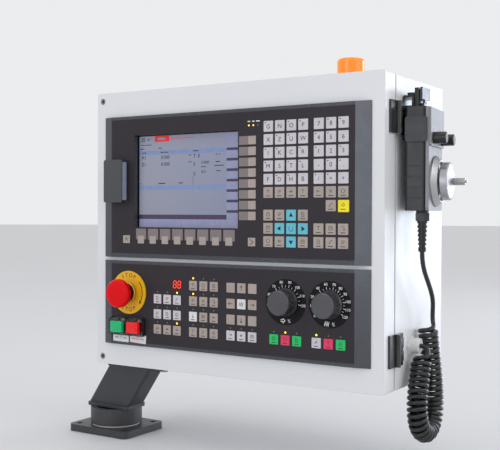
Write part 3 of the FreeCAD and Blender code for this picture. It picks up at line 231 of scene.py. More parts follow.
# Each sign is a few lines, drawn in a square that runs from -1 to 1 both ways.
ICONS = {
    "up": (((0, -1), (0, 1)), ((-0.55, 0.35), (0, 1), (0.55, 0.35))),
    "down": (((0, 1), (0, -1)), ((-0.55, -0.35), (0, -1), (0.55, -0.35))),
    "left": (((1, 0), (-1, 0)), ((-0.35, -0.55), (-1, 0), (-0.35, 0.55))),
    "right": (((-1, 0), (1, 0)), ((0.35, -0.55), (1, 0), (0.35, 0.55))),
    "page": (((-0.7, -1), (-0.7, 1), (0.2, 1), (0.7, 0.5), (0.7, -1), (-0.72, -1)),
             ((-0.3, 0), (0.3, 0))),
    "lines": (((-1, 0.7), (1, 0.7)), ((-1, 0), (1, 0)), ((-1, -0.7), (0.4, -0.7))),
    "wave": (((-1, -0.8), (-0.6, 0.8), (-0.2, -0.8), (0.2, 0.8), (0.6, -0.8), (1, 0.8)),),
    "loop": (ROUND,),
    "ring": (ROUND, ((0, -0.45), (0, 0.45))),
    "cross": (((-0.8, -0.8), (0.8, 0.8)), ((-0.8, 0.8), (0.8, -0.8))),
    "frame": (((-0.9, -0.8), (-0.9, 0.8), (0.9, 0.8), (0.9, -0.8), (-0.93, -0.8)),
              ((-0.9, 0.2), (0.9, 0.2))),
    "steps": (((-1, -0.8), (-0.4, -0.8), (-0.4, 0), (0.2, 0), (0.2, 0.8), (1, 0.8)),),
    "enter": (((0, 1), (1, 0), (0, -1)), ((-1, 0.35), (0.2, 0.35)), ((-1, -0.35), (0.2, -0.35))),
    "slash": (((-0.8, -0.8), (0.2, 0.8)), ((-0.1, -0.8), (0.9, 0.8))),
    "tee": (((-0.9, 0.8), (0.9, 0.8)), ((0, 0.8), (0, -0.9))),
    "bend": (((-1, 0.8), (0.6, 0.8), (0.6, -0.9)), ((0.05, -0.35), (0.6, -0.9), (1.1, -0.35))),
    "beam": (((-1, 0), (1, 0)), ((-0.4, 0.7), (-0.4, -0.7)), ((0.4, 0.7), (0.4, -0.7))),
}


def icon(name, x, y, size, low, width=0.55):
    """A generic sign made of printed lines."""
    return [ribbon([(x + px * size, y + py * size) for px, py in line], width, low)
            for line in ICONS[name]]


def triangle(x, y, size, degrees, low):
    """A solid arrow head that points at an angle clockwise from straight up."""
    ring = [round_point(x, y, size, degrees + turn) for turn in (0, 120, 240)]
    return stacked([[(*p, low) for p in reversed(ring)], [(*p, low + INK) for p in reversed(ring)]])


# ------------------------------------------------------------------ materials

def srgb(red, green, blue):
    """A colour read as 0 to 255, as the shader wants it."""
    def one(level):
        level /= 255
        return level / 12.92 if level <= 0.04045 else ((level + 0.055) / 1.055) ** 2.4
    return one(red), one(green), one(blue), 1.0


def shaded(colour, share):
    """A colour made darker or lighter."""
    return tuple(min(1.0, level * share) for level in colour[:3]) + (1.0,)


GLOSSIEST = 0.02        # the lowest roughness that an uneven gloss may reach
BEVEL_SAMPLES = 4


class Finish:
    """A procedural material under construction: clouds of colour, uneven gloss and a fine relief."""

    def __init__(self, name, colour, rough, **sockets):
        self.made = bpy.data.materials.new(name)
        self.made.use_nodes = True
        self.tree = self.made.node_tree
        self.shader = self.tree.nodes["Principled BSDF"]
        self.place = self.node("ShaderNodeTexCoord").outputs["Object"]
        self.colour = colour
        self.rough = rough
        for socket, amount in sockets.items():
            self.shader.inputs[socket.replace("_", " ")].default_value = amount

    def node(self, kind, **inputs):
        made = self.tree.nodes.new(kind)
        for socket, amount in inputs.items():
            made.inputs[socket.replace("_", " ")].default_value = amount
        return made

    def link(self, output, socket):
        self.tree.links.new(output, socket)

    def noise(self, scale, detail=3.0, stretch=(1, 1, 1)):
        """Noise with a feature about 1 / scale metres wide, longer along a stretched axis."""
        spread = self.node("ShaderNodeMapping")
        spread.inputs["Scale"].default_value = stretch
        self.link(self.place, spread.inputs["Vector"])
        clouds = self.node("ShaderNodeTexNoise", Scale=scale, Detail=detail)
        self.link(spread.outputs["Vector"], clouds.inputs["Vector"])
        return clouds.outputs["Fac"]

    def ranged(self, source, low, high, start=0.3, end=0.7):
        """A source spread over a range of values."""
        made = self.node("ShaderNodeMapRange", From_Min=start, From_Max=end, To_Min=low, To_Max=high)
        self.link(source, made.inputs["Value"])
        return made.outputs["Result"]

    def mixed(self, factor, first, second):
        """A colour between two, each a colour or an output."""
        made = self.node("ShaderNodeMix")
        made.data_type = "RGBA"
        self.link(factor, made.inputs[0])
        for index, colour in ((6, first), (7, second)):
            if isinstance(colour, tuple):
                made.inputs[index].default_value = colour
            else:
                self.link(colour, made.inputs[index])
        return made.outputs[2]

    def clouds(self, scale=14.0, depth=0.07):
        """Uneven colour over the surface."""
        factor = self.ranged(self.noise(scale, 5.0), 0.0, 1.0)
        darker, lighter = shaded(self.colour, 1 - depth), shaded(self.colour, 1 + depth)
        self.colour = self.mixed(factor, darker, lighter)
        return self

    def specks(self, scale, colour, share=0.35):
        """Small specks of another colour."""
        factor = self.ranged(self.noise(scale, 2.0), 0.0, share, 0.58, 0.72)
        self.colour = self.mixed(factor, self.colour, colour)
        return self

    def relief(self, scale=900.0, height=0.03, strength=0.5, stretch=(1, 1, 1), edge=0.0):
        """Fine bumps height mm tall, over edges rounded by edge mm."""
        bump = self.node("ShaderNodeBump", Strength=strength, Distance=height * MM)
        self.link(self.noise(scale, 2.0, stretch), bump.inputs["Height"])
        if edge:
            bevel = self.tree.nodes.new("ShaderNodeBevel")
            bevel.samples = BEVEL_SAMPLES
            bevel.inputs["Radius"].default_value = edge * MM
            self.link(bevel.outputs["Normal"], bump.inputs["Normal"])
        self.link(bump.outputs["Normal"], self.shader.inputs["Normal"])
        return self

    def glow(self, strength):
        """Light given off in the surface's own colour."""
        self.link(self.colour, self.shader.inputs["Emission Color"])
        self.shader.inputs["Emission Strength"].default_value = strength
        return self

    def done(self, gloss_scale=60.0, spread=0.05):
        """The material, with a gloss that varies a little."""
        least = max(GLOSSIEST, self.rough - spread)
        rough = self.ranged(self.noise(gloss_scale, 4.0), least, self.rough + spread)
        self.link(rough, self.shader.inputs["Roughness"])
        if isinstance(self.colour, tuple):
            self.shader.inputs["Base Color"].default_value = self.colour
        else:
            self.link(self.colour, self.shader.inputs["Base Color"])
        return self.made


def moulded(name, colour, rough=0.42, height=0.02, scale=1500.0, edge=0.25, **sockets):
    """Moulded plastic with a fine spark-eroded texture."""
    made = Finish(name, colour, rough, **sockets)
    made.clouds(18.0, 0.08).specks(900.0, shaded(colour, 1.25), 0.25)
    return made.relief(scale, height, 0.5, edge=edge).done()


def printed(name, colour, rough=0.5, **sockets):
    """Ink or film, with a slightly uneven coat."""
    made = Finish(name, colour, rough, **sockets)
    return made.clouds(60.0, 0.05).relief(2500.0, 0.006, 0.4).done(200.0)


def machined(name, colour, rough=0.3, stretch=(1, 1, 12), edge=0.2):
    """Turned or rolled metal, with fine lines one way."""
    made = Finish(name, colour, rough, Metallic=1.0)
    return made.clouds(40.0, 0.08).relief(900.0, 0.01, 0.4, stretch, edge).done(90.0, 0.08)


def lit(name, colour, strength, rough=0.25):
    """A surface that gives off light: a lit surface behind glass or a lens, or a painted glow on the power
    buttons, which hold no lamp.
    """
    return Finish(name, colour, rough).clouds(90.0, 0.06).glow(strength).done()


def powder_coat(name, colour, rough, peel, height, edge, dust):
    """Powder-coated sheet metal with orange peel and a little dust."""
    made = Finish(name, colour, rough, Coat_Weight=0.15, Coat_Roughness=0.25)
    made.clouds(6.0, 0.02).specks(420.0, dust, 0.12)
    return made.relief(peel, height, 0.35, edge=edge).done(25.0, 0.06)


def screen_glass():
    """The lit display's ground: greyer on the left, bluer on the right, with a faint pixel grid."""
    made = Finish("screen_ground", srgb(140, 143, 158), 0.2)
    low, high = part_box("display_screen")
    axes = made.node("ShaderNodeSeparateXYZ")
    made.link(made.place, axes.inputs["Vector"])
    side = made.ranged(axes.outputs["X"], 0.0, 1.0, low.x, high.x)
    height = made.ranged(axes.outputs["Z"], 0.0, 0.35, low.z, high.z)
    ground = made.mixed(side, srgb(136, 139, 152), srgb(124, 127, 152))
    made.colour = made.mixed(height, ground, srgb(150, 152, 170))
    return made.glow(0.2).relief(3000.0, 0.002, 0.3).done(80.0, 0.03)


def build_materials():
    """Every material by name."""
    made = {}

    def add(kind, name, colour, *rest, **sockets):
        made[name] = kind(name, srgb(*colour), *rest, **sockets)

    add(powder_coat, "cabinet_paint", (226, 226, 228), 0.42, 480.0, 0.03, 0.8, srgb(200, 198, 194))
    add(powder_coat, "arm_paint", (52, 52, 56), 0.5, 700.0, 0.05, 0.6, srgb(90, 90, 92))
    add(powder_coat, "hinge_zinc", (46, 46, 48), 0.26, 900.0, 0.02, 0.4, srgb(120, 120, 122))
    add(machined, "steel", (176, 176, 178))
    add(machined, "housing_steel", (186, 188, 190), 0.42, (1, 1, 1))
    add(machined, "screw_steel", (150, 150, 152), 0.32, (1, 1, 1))
    add(machined, "encoder_steel", (160, 160, 162), 0.35)
    add(machined, "wheel_metal", (178, 178, 180), 0.42, (1, 1, 9), 0.4)
    add(machined, "collar_metal", (190, 165, 95), 0.3, (1, 1, 1))
    add(moulded, "nylon", (222, 218, 205), 0.5)
    add(moulded, "gasket_rubber", (40, 40, 41), 0.8, 0.05, 900.0)
    add(moulded, "panel_plastic", (54, 55, 64), 0.26, 0.012, 1600.0, 0.5, Coat_Weight=0.5,
        Coat_Roughness=0.15)
    add(moulded, "membrane_film", (44, 39, 44), 0.5, 0.010, 2600.0, 0.1, Specular_IOR_Level=0.3)
    add(moulded, "black_plastic", (24, 24, 26), 0.3)
    add(moulded, "knob_plastic", (60, 59, 64), 0.3, 0.02, 1700.0, 0.35, Coat_Weight=0.7,
        Coat_Roughness=0.2)
    add(moulded, "flap_plastic", (52, 53, 58), 0.22, 0.006, 1500.0, 0.5, Coat_Weight=0.6,
        Coat_Roughness=0.08)
    # pale bluish colour for the strip on the flap's side: a painted reflection
    add(moulded, "satin_trim", (150, 157, 182), 0.3, 0.006, 1500.0, 0.1)
    add(moulded, "pendant_plastic", (34, 34, 36), 0.36, 0.03, 1100.0, 0.4)
    add(moulded, "pendant_film", (132, 132, 136), 0.4, 0.01, 2000.0, 0.3)
    add(moulded, "cord_sheath", (30, 30, 31), 0.27, 0.006, 1200.0, 0.0)
    add(moulded, "gland_white", (216, 216, 216), 0.35, 0.01)
    add(moulded, "estop_red", (224, 0, 10), 0.34, 0.008, 900.0, 0.6, Coat_Weight=0.1,
        Specular_IOR_Level=0.12)
    add(moulded, "estop_yellow", (240, 184, 8), 0.4, 0.008)
    # The power buttons glow: painted light that brightens their colour, as they hold no lamp.
    add(lit, "button_green", (0, 178, 108), 0.4)
    add(lit, "button_red", (238, 6, 14), 0.4)
    add(moulded, "digits", (58, 12, 16), 0.2, 0.004)
    add(printed, "key_light", (204, 198, 203))
    add(printed, "key_taupe", (170, 156, 148))
    add(printed, "key_shade", (128, 117, 117))
    add(printed, "key_cyan", (96, 188, 204))
    add(printed, "key_yellow", (250, 228, 20))
    add(printed, "key_green", (0, 192, 98))
    add(printed, "key_pink", (226, 52, 96))
    add(printed, "print_white", (240, 240, 240))
    add(printed, "print_dark", (22, 20, 26))
    add(printed, "scale_black", (10, 9, 10), Specular_IOR_Level=0.2)
    add(printed, "sticker", (222, 222, 222), 0.6)
    add(printed, "sticker_green", (20, 110, 100))
    add(printed, "sticker_red", (215, 50, 60))
    add(lit, "lamp_amber", (255, 200, 60), 1.6)
    add(lit, "lamp_red", (255, 50, 30), 1.8)
    add(moulded, "lamp_off", (112, 108, 112), 0.3, 0.004)
    add(moulded, "screen_black", (22, 22, 26), 0.12, 0.002, 900.0, 0.0)
    made["screen_ground"] = screen_glass()
    add(lit, "screen_light", (116, 132, 172), 0.2)
    add(lit, "screen_pale", (136, 138, 168), 0.2)
    add(lit, "screen_violet", (66, 54, 84), 0.1)
    add(lit, "screen_ink", (24, 24, 34), 0.0)
    add(lit, "screen_red", (220, 30, 16), 0.2)
    clear = Finish("clear_plastic", srgb(244, 247, 247), 0.05, Transmission_Weight=1.0, IOR=1.2)
    clear.clouds(40.0, 0.02).relief(300.0, 0.01, 0.3, edge=0.3)
    made["clear_plastic"] = clear.done(50.0, 0.03)
    amber = Finish("amber_lens", srgb(255, 150, 6), 0.2, Transmission_Weight=0.45, IOR=1.45,
                   Subsurface_Weight=0.25, Coat_Weight=0.5)
    amber.clouds(30.0, 0.06).relief(500.0, 0.02, 0.3, edge=0.6).glow(0.25)
    made["amber_lens"] = amber.done(50.0, 0.03)
    return made


MATERIALS = build_materials()
SHOWN_AS = {"display_screen": "screen_black", "hanger_hook": "black_plastic"}


def dress_cad():
    """Every CAD node gets the material of its slot in the record, or the one that it is shown as."""
    for row in frame["record"]["subparts"]:
        shown = SHOWN_AS.get(row["node"], row["material_slot"])
        slots = NODES[row["node"]].data.materials
        slots.clear()
        slots.append(MATERIALS[shown])


# ------------------------------------------------------------------ pieces

SAME_POINT = 0.0000004      # corners nearer than this, in metres, are one


def piece(name, on, parts, finish, body, smooth=False):
    """One mesh made of parts drawn on a seat, which rides on a body."""
    points, faces = [], []
    for part_points, part_faces in parts:
        start = len(points)
        points += [on @ Vector(point) for point in part_points]
        faces += [tuple(index + start for index in face) for face in part_faces]
    mesh = bpy.data.meshes.new(name)
    mesh.from_pydata(points, [], faces)
    cleaned = bmesh.new()
    cleaned.from_mesh(mesh)
    bmesh.ops.remove_doubles(cleaned, verts=cleaned.verts, dist=SAME_POINT)
    bmesh.ops.recalc_face_normals(cleaned, faces=cleaned.faces)
    cleaned.to_mesh(mesh)
    cleaned.free()
    mesh.materials.append(MATERIALS[finish])
    if smooth:
        mesh.shade_smooth()
    made = bpy.data.objects.new(name, mesh)
    bpy.context.scene.collection.objects.link(made)
    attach(made, body)


def on_panel(name, parts, finish, smooth=False):
    """A piece on the door's panels, riding on the door, in the given finish."""
    piece(name, PANEL, parts, finish, "door", smooth)


# ------------------------------------------------------------------ display panel

PITCH = 17.0
KEY = 14.0
YELLOW_KEY = KEY + 1.0
LETTER_COLUMNS, NUMBER_COLUMNS = 270.7, 343.9
TOP_ROW, LOW_ROW = 18.1, 132.1
SIGN_SIZE, LETTER_SIZE = 3.0, 8.0
KEY_TEXT = ("GNOP789", "XZUW456", "IKCR123", "MSTL-0.", "FDHB/=+")
KEY_ICONS = ("up", "lines", "beam", "tee", "left", "cross", "loop")
# The four keys with no name here are the cursor keys and the one between them, which are cyan.
LOW_ICONS = (("ring", "lines", None, "page"), ("frame", None, None, None),
             ("loop", "beam", None, "frame"))
RIGHT_ICONS = (("tee", "frame", "bend"), ("page", "steps", "lines"))
CURSOR_WAYS = ((0, 1, 0), (1, 0, 90), (0, -1, 180), (-1, 0, 270))
ON_KEY = KEY_RISE - 0.10    # print lies in a key's dish, a little under its rim


def key_column(index):
    """How far across a column of keys starts; the last three columns hold the digits."""
    if index < 4:
        return LETTER_COLUMNS + PITCH * index
    return NUMBER_COLUMNS + PITCH * (index - 4)


def sign_and_caption(name, x, y, size=SIGN_SIZE):
    """A sign with a short bar under it, where a real key has its word."""
    reach_x, bar_y = size * 1.15, y - size - 1.4
    caption = ribbon([(x - reach_x, bar_y), (x + reach_x, bar_y)], 0.9, ON_KEY)
    return icon(name, x, y + 1.0, size * 0.85, ON_KEY) + [caption]


def display_keys():
    """The letter and digit keys, and below them the keys with signs."""
    light, taupe, cyan, ink = [], [], [], []

    def marked(group, column, down, name):
        """A key with a sign and its caption, in one of the panel's columns."""
        group.append(pad(key_column(column), -down, KEY, KEY))
        ink.extend(sign_and_caption(name, key_column(column) + KEY / 2, -down - KEY / 2))

    for row, text in enumerate(KEY_TEXT):
        down = TOP_ROW + PITCH * row
        for column, sign in enumerate(text):
            across = key_column(column)
            light.append(pad(across, -down, KEY, KEY))
            ink.append(lettering(sign, across + KEY * 0.5, -down - KEY * 0.54, LETTER_SIZE, ON_KEY))
            if (row + column) % 3 != 1:
                second_letter = [(across + 1.8, -down - 2.4), (across + 3.8, -down - 2.4)]
                ink.append(ribbon(second_letter, 1.1, ON_KEY))
    down = TOP_ROW + PITCH * len(KEY_TEXT)
    for column, name in enumerate(KEY_ICONS):
        marked(taupe, column, down, name)
    down += PITCH
    marked(taupe, 5, down, "steps")
    yellow = pad(key_column(6), -down, YELLOW_KEY, YELLOW_KEY)
    ink += sign_and_caption("enter", key_column(6) + KEY / 2, -down - KEY / 2)
    for row, names in enumerate(LOW_ICONS):
        down = LOW_ROW + PITCH * row
        for column, name in enumerate(names):
            if name:
                marked(taupe, column, down, name)
            else:
                cyan.append(pad(key_column(column), -down, KEY, KEY))
    x, y = key_column(2) + KEY / 2, -LOW_ROW - PITCH - KEY / 2
    for step_x, step_y, degrees in CURSOR_WAYS:
        ink.append(triangle(x + PITCH * step_x, y + PITCH * step_y, 3.6, degrees, ON_KEY))
    ink.append(ribbon(arc(x, y, 3.2, 40, 320), 0.6, ON_KEY))
    for row, names in enumerate(RIGHT_ICONS, start=1):
        for column, name in enumerate(names, start=4):
            marked(taupe, column, LOW_ROW + PITCH * row, name)
    on_panel("letter_keys", light, "key_light")
    on_panel("function_keys", taupe, "key_taupe")
    on_panel("cursor_keys", cyan, "key_cyan")
    on_panel("input_key", [yellow], "key_yellow")
    on_panel("key_signs", ink, "print_dark")


SOFTKEYS = 8
SOFTKEY_RISE = KEY_RISE + 0.1
SOFTKEY_FIELD = 0.25        # how far the shaded fields behind them stand up
UNDER_LEFT, UNDER_PITCH = 60.0, 21.2
BESIDE_TOP, BESIDE_PITCH = 36.2, 14.07


def softkeys():
    """The two rows of unmarked keys beside and under the screen, with their shaded fields."""
    light, shade = [], []
    for index in range(SOFTKEYS):
        across = UNDER_LEFT + UNDER_PITCH * index
        shade.append(plate(across + 9.0, -166.4, 18.0, 15.2, 0, SOFTKEY_FIELD, 0.6))
        light.append(pad(across + 3.4, -168.8, 11.0, 11.0, SOFTKEY_RISE))
        down = BESIDE_TOP + BESIDE_PITCH * index
        shade.append(plate(239.9, -down - 5.6, 14.2, 11.2, 0, SOFTKEY_FIELD, 0.6))
        light.append(pad(247.2, -down, 11.7, 11.2, SOFTKEY_RISE))
    light += [pad(36.6, -168.5, 12.4, 11.2), pad(247.2, -168.6, 11.2, 11.2)]
    on_panel("softkeys", light, "key_taupe")
    on_panel("softkey_fields", shade, "key_shade")
    marks = [ribbon([(40.2, -176.2), (42.8, -171.8), (45.4, -176.2)], 0.8, ON_KEY),
             ribbon([(250.2, -170.6), (255.6, -174.2), (250.2, -177.8)], 0.8, ON_KEY)]
    on_panel("menu_signs", marks, "print_dark")


PICTURE_WIDE, PICTURE_TALL = 171.0, 128.0
PICTURE_LEFT, PICTURE_TOP = 58.6, 28.8
PICTURE_LAYER = 0.06
COLUMN_LEFT = 148.8         # the column of softkey names on the right
COLUMN_TOP, COLUMN_PITCH, COLUMN_LINE = 20.5, 13.9, 3.6
CELLS_TOP, CELL_PITCH = 117.0, 18.6     # the row of softkey names at the foot
# Words too small to read, as short bars: how far down, how thick and on which layer they lie, and
# where each begins and ends.
SCREEN_BARS = (
    (12.4, 0.9, 2, ((3, 9.5), (11, 22))), (17.8, 1.0, 2, ((1.5, 9),)), (17.4, 1.0, 2, ((34, 40),)),
    (23.4, 1.1, 3, ((5.5, 12), (37.5, 44), (45, 51))), (23.0, 1.1, 3, ((94, 102.5),)),
    (28.4, 0.9, 2, ((86, 91),)), (37.8, 0.9, 2, ((86, 91),)),
    (28.6, 1.0, 2, ((131, 134), (136.5, 138.5))), (38.6, 1.2, 2, ((131, 138),)),
    (43.8, 1.0, 2, ((129, 144),)), (51.0, 1.0, 2, ((132, 139),)), (45.0, 0.9, 2, ((107, 115),)),
    (66.6, 1.0, 2, ((2, 3.6),)), (66.6, 1.3, 2, ((34, 46),)), (66.4, 1.2, 2, ((69, 76),)),
)
# Larger words: across, down and size.
SCREEN_TEXT = (
    ("X1", 8.0, 30.4, 7.0), ("Z1", 8.0, 40.0, 7.0), ("0.000", 46.0, 30.4, 6.8),
    ("0.000", 46.0, 40.0, 6.8), ("T", 96.0, 30.2, 7.2), ("0", 103.2, 30.2, 7.2),
    ("F", 96.0, 41.8, 7.2), ("0.000", 114.0, 39.2, 5.6), ("S", 96.0, 54.6, 7.2),
    ("0.0", 111.0, 52.0, 5.6),
)


def screen():
    """The picture behind the glass: a position table, two bands and the names of the softkeys."""
    face = Vector((PANEL_CORNER.x, SCREEN_BACK - GLASS_THICK, PANEL_CORNER.z))
    corner = face + Vector((PICTURE_LEFT * MM, 0, -PICTURE_TOP * MM))
    on = seat(corner, RIGHT, FRONT)
    layer = PICTURE_LAYER

    def field(left, top, right, bottom, low):
        x, y = (left + right) / 2, -(top + bottom) / 2
        return plate(x, y, right - left, bottom - top, low, low + layer)

    def bars(marks, down, thick, low):
        return [ribbon([(left, -down), (right, -down)], thick, low) for left, right in marks]

    def show(name, parts, finish):
        piece(name, on, parts, finish, "door")

    show("screen_picture", [field(0, 0, PICTURE_WIDE, PICTURE_TALL, 0)], "screen_ground")
    show("screen_bands", [field(0, COLUMN_TOP, COLUMN_LEFT, 26.2, layer),
                          field(0, 69.6, COLUMN_LEFT, 75.6, layer)], "screen_light")
    lines = [COLUMN_TOP + COLUMN_PITCH * index for index in range(7)]
    column = [field(COLUMN_LEFT, above + COLUMN_LINE, PICTURE_WIDE, below, layer)
              for above, below in zip([-COLUMN_LINE + 1.0] + lines, lines + [116.6])]
    cells = [field(CELL_PITCH * index + 0.3, CELLS_TOP, CELL_PITCH * index + 18.2, PICTURE_TALL, layer)
             for index in range(SOFTKEYS)]
    cells.append(field(COLUMN_LEFT + 0.4, CELLS_TOP, PICTURE_WIDE, PICTURE_TALL, layer))
    show("screen_cells", column + cells, "screen_pale")
    dark = [field(0, 110.2, COLUMN_LEFT, 116.4, layer)]
    dark += [field(COLUMN_LEFT, line, PICTURE_WIDE, line + COLUMN_LINE, layer) for line in lines]
    show("screen_dark_bands", dark, "screen_violet")
    words = [bar for down, thick, level, marks in SCREEN_BARS
             for bar in bars(marks, down, thick, level * layer)]
    words += [lettering(text, x, -y, size, 2 * layer) for text, x, y, size in SCREEN_TEXT]
    words += [ribbon([(93.6, -57.0), (93.6, -69.0)], 0.35, 2 * layer)]
    words += icon("frame", 7.2, -5.2, 2.6, 2 * layer, 0.7) + icon("left", 17.4, -5.0, 2.6, 2 * layer, 0.7)
    show("screen_words", words, "screen_ink")
    alarm = [field(27.4, 0.2, 52.6, 8.4, layer)]
    alarm += bars(((54, 62), (63.5, 74), (75.5, 83), (84, 95)), 4.6, 0.9, 2 * layer)
    show("screen_alarm", alarm, "screen_red")
    show("screen_alarm_words", bars(((33, 46),), 4.2, 2.6, 3 * layer), "screen_pale")


# ------------------------------------------------------------------ control panel

CONTROL_KEY = 13.0
CONTROL_TOP, CONTROL_PITCH = 228.6, 21.03
CONTROL_SIGN, MOVE_SIGN = 2.7, 3.2
LAMP_UP, LAMP_RISE = 3.4, 0.6
LIT_LAMP, DARK_LAMP = 1.35, 1.1     # radii
# Where each block's first column of keys starts, and its columns' pitch.
MODE_BLOCK, AXIS_BLOCK, MOVE_BLOCK = (92.1, 16.8), (152.9, 17.0), (213.9, 16.85)
SPINDLE_BLOCK, FEED_BLOCK = (280.4, 16.8), (341.9, 16.9)
MODE_SIGNS = (("page", "lines", "steps"), ("lines", "page", "ring"), ("wave", "beam", "beam"))
AXIS_SIGNS = (("tee", "loop", "ring"), ("lines", "cross", "bend"), ("down", "frame", "beam"),
              ("tee", "steps", "enter"))
MOVE_SIGNS = ((None, "up", None), ("left", "wave", "right"), (None, "down", None))
PANEL_LAMPS = ((247.9, 1.9), (254.7, 1.8), (261.7, 2.8))    # each with half the width of its name
OVERRIDE_LABELS = {
    "spindle_override": [(-98 + 28 * step, str(50 + 10 * step)) for step in range(8)],
    "feed_override": [(-126, "0"), (-96, "10"), (-70, "20"), (-40, "40"), (-12, "60"), (14, "70"),
                      (36, "80"), (57, "90"), (79, "100"), (102, "110"), (124, "120")],
}


def control_keys():
    """The control panel's keys and the small lamps above them, and the lamps of the display panel."""
    light, taupe, white, green, pink, ink, on, off = ([] for _ in range(8))

    def add(group, block, column, row, name=None, lamp=None, words=True):
        """A key of a block with its sign; its lamp is lit, dark or not there."""
        left, pitch = block
        across, down = left + pitch * column, CONTROL_TOP + CONTROL_PITCH * row
        group.append(pad(across, -down, CONTROL_KEY, CONTROL_KEY))
        x, y = across + CONTROL_KEY / 2, -down - CONTROL_KEY / 2
        if name and words:
            ink.extend(sign_and_caption(name, x, y, CONTROL_SIGN))
        elif name:
            ink.extend(icon(name, x, y, MOVE_SIGN, ON_KEY, 0.7))
        if lamp is not None:
            radius = LIT_LAMP if lamp else DARK_LAMP
            (on if lamp else off).append(dome(x, -down + LAMP_UP, radius, 0, LAMP_RISE))

    for row, names in enumerate(MODE_SIGNS, start=1):
        for column, name in enumerate(names):
            lamp = (row, column) in ((1, 2), (3, 2))
            add(taupe if row == 3 else light, MODE_BLOCK, column, row, name, lamp)
    for row, names in enumerate(AXIS_SIGNS):
        for column, name in enumerate(names):
            lamp = (row, column) in ((0, 0), (1, 0))
            add(white if (row, column) == (2, 0) else taupe, AXIS_BLOCK, column, row, name, lamp)
    for row, names in enumerate(MOVE_SIGNS):
        for column, name in enumerate(names):
            group = white if (row, column) == (1, 1) else taupe
            add(group, MOVE_BLOCK, column, row, name, words=False)
    for column, name in enumerate(("right", "beam", "frame")):
        add(light, MOVE_BLOCK, column, 3, name, False)
    spindle = ((green, "ring", False), (pink, "loop", True), (green, "page", False))
    feed = ((light, "slash", True), (pink, "tee", False), (green, "ring", False))
    for block, keys in ((SPINDLE_BLOCK, spindle), (FEED_BLOCK, feed)):
        for column, (group, name, lamp) in enumerate(keys):
            add(group, block, column, 3, name, lamp)
    names = [ribbon([(x - half, -17.4), (x + half, -17.4)], 1.3, 0) for x, half in PANEL_LAMPS]
    on_panel("lamp_names", names, "print_white")
    domes = [dome(x, -22.6, DARK_LAMP, 0, 0.5) for x, _ in PANEL_LAMPS]
    on += domes[:2]
    off += domes[2:]
    on_panel("mode_keys", light, "key_light")
    on_panel("axis_keys", taupe, "key_taupe")
    on_panel("chosen_keys", white, "sticker")
    on_panel("start_keys", green, "key_green")
    on_panel("stop_keys", pink, "key_pink")
    on_panel("control_signs", ink, "print_dark")
    on_panel("lamps_lit", on, "lamp_amber", smooth=True)
    on_panel("lamps_dark", off, "lamp_off", smooth=True)


DIGIT_OUT, DIGIT_LEAN = 3.7, 0.4        # a digit's middle from the window's, and its slant
DIGIT_WIDE, DIGIT_TALL = 2.35, 4.7      # half its width and height
DIGIT_GAP = 0.12                        # the share of a segment left free at each end


def digit_segments():
    """Two seven-segment digits on the red filter."""
    low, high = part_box("digit_display")
    middle = Vector(((low.x + high.x) / 2, low.y, (low.z + high.z) / 2))
    on = seat(middle, RIGHT, FRONT)
    bars = (((-1, 1), (1, 1)), ((-1, 0), (1, 0)), ((-1, -1), (1, -1)),
            ((-1, 0), (-1, 1)), ((1, 0), (1, 1)), ((-1, -1), (-1, 0)), ((1, -1), (1, 0)))
    parts = []
    for centre in (-DIGIT_OUT, DIGIT_OUT):
        for start, end in bars:
            ends = [(centre + x * DIGIT_WIDE + y * DIGIT_LEAN, y * DIGIT_TALL) for x, y in (start, end)]
            inset = [tuple(np.add(a, np.subtract(b, a) * DIGIT_GAP)) for a, b in (ends, ends[::-1])]
            parts.append(ribbon(inset, 0.9, 0.02))
    piece("digit_segments", on, parts, "lamp_red", "door")


def flap_trim():
    """A strip down the right side of the interface flap, pale bluish and satin: a painted reflection that makes
    that side bright.
    """
    low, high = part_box("interface_cover")
    on = seat(Vector((high.x, low.y, (low.z + high.z) / 2)), (0, 1, 0), RIGHT)
    length = (high.z - low.z) / MM - 7.0
    strip = plate(5.6, 0, 8.4, length, 0, 0.25, 0.8)
    piece("flap_trim", on, [strip], "satin_trim", "flap")


SCALE_INSIDE, SCALE_OUTSIDE, SCALE_THICK = 6.5, 29.4, 0.35
SCALE_PRINT = 0.33          # its print lies a hair into it
TICK_START, TICK_END, SHORT_TICK_END, NUMBER_OUT = 18.8, 22.4, 21.0, 25.6


def dials():
    """A printed scale round each override dial."""
    scales, ink = [], []
    for name, labels in OVERRIDE_LABELS.items():
        across, down = across_down(JOINTS[name]["pos_m"])

        def tick(end, degrees, width):
            ends = [round_point(across, -down, radius, degrees) for radius in (TICK_START, end)]
            ink.append(ribbon(ends, width, SCALE_PRINT))

        scales.append(washer(across, -down, SCALE_INSIDE, SCALE_OUTSIDE, 0.0, SCALE_THICK))
        for degrees, text in labels:
            number_at = round_point(across, -down, NUMBER_OUT, degrees)
            ink.append(lettering(text, *number_at, 5.0, SCALE_PRINT))
            tick(TICK_END, degrees, 0.6)
        for (first, _), (second, _) in zip(labels, labels[1:]):
            tick(SHORT_TICK_END, (first + second) / 2, 0.45)
        ink.append(lettering("%", across + 5.4, -down - 24.2, 6.0, SCALE_PRINT))
        sign = "enter" if name == "spindle_override" else "wave"
        ink += icon(sign, across - 3.8, -down - 24.0, 3.2, SCALE_PRINT, 0.9)
    on_panel("dial_scales", scales, "scale_black")
    on_panel("dial_numbers", ink, "print_white")


STOP_STEP, STOP_OUT, STOP_SIZE = 17, 24.4, 8.2
ARROW_OUT, ARROW_SWEEP, ARROW_TIP, ARROW_LEAN = 24.6, 68, 72, 96
PLATE_PRINT = -0.01         # the arrows lie a hair into the plate


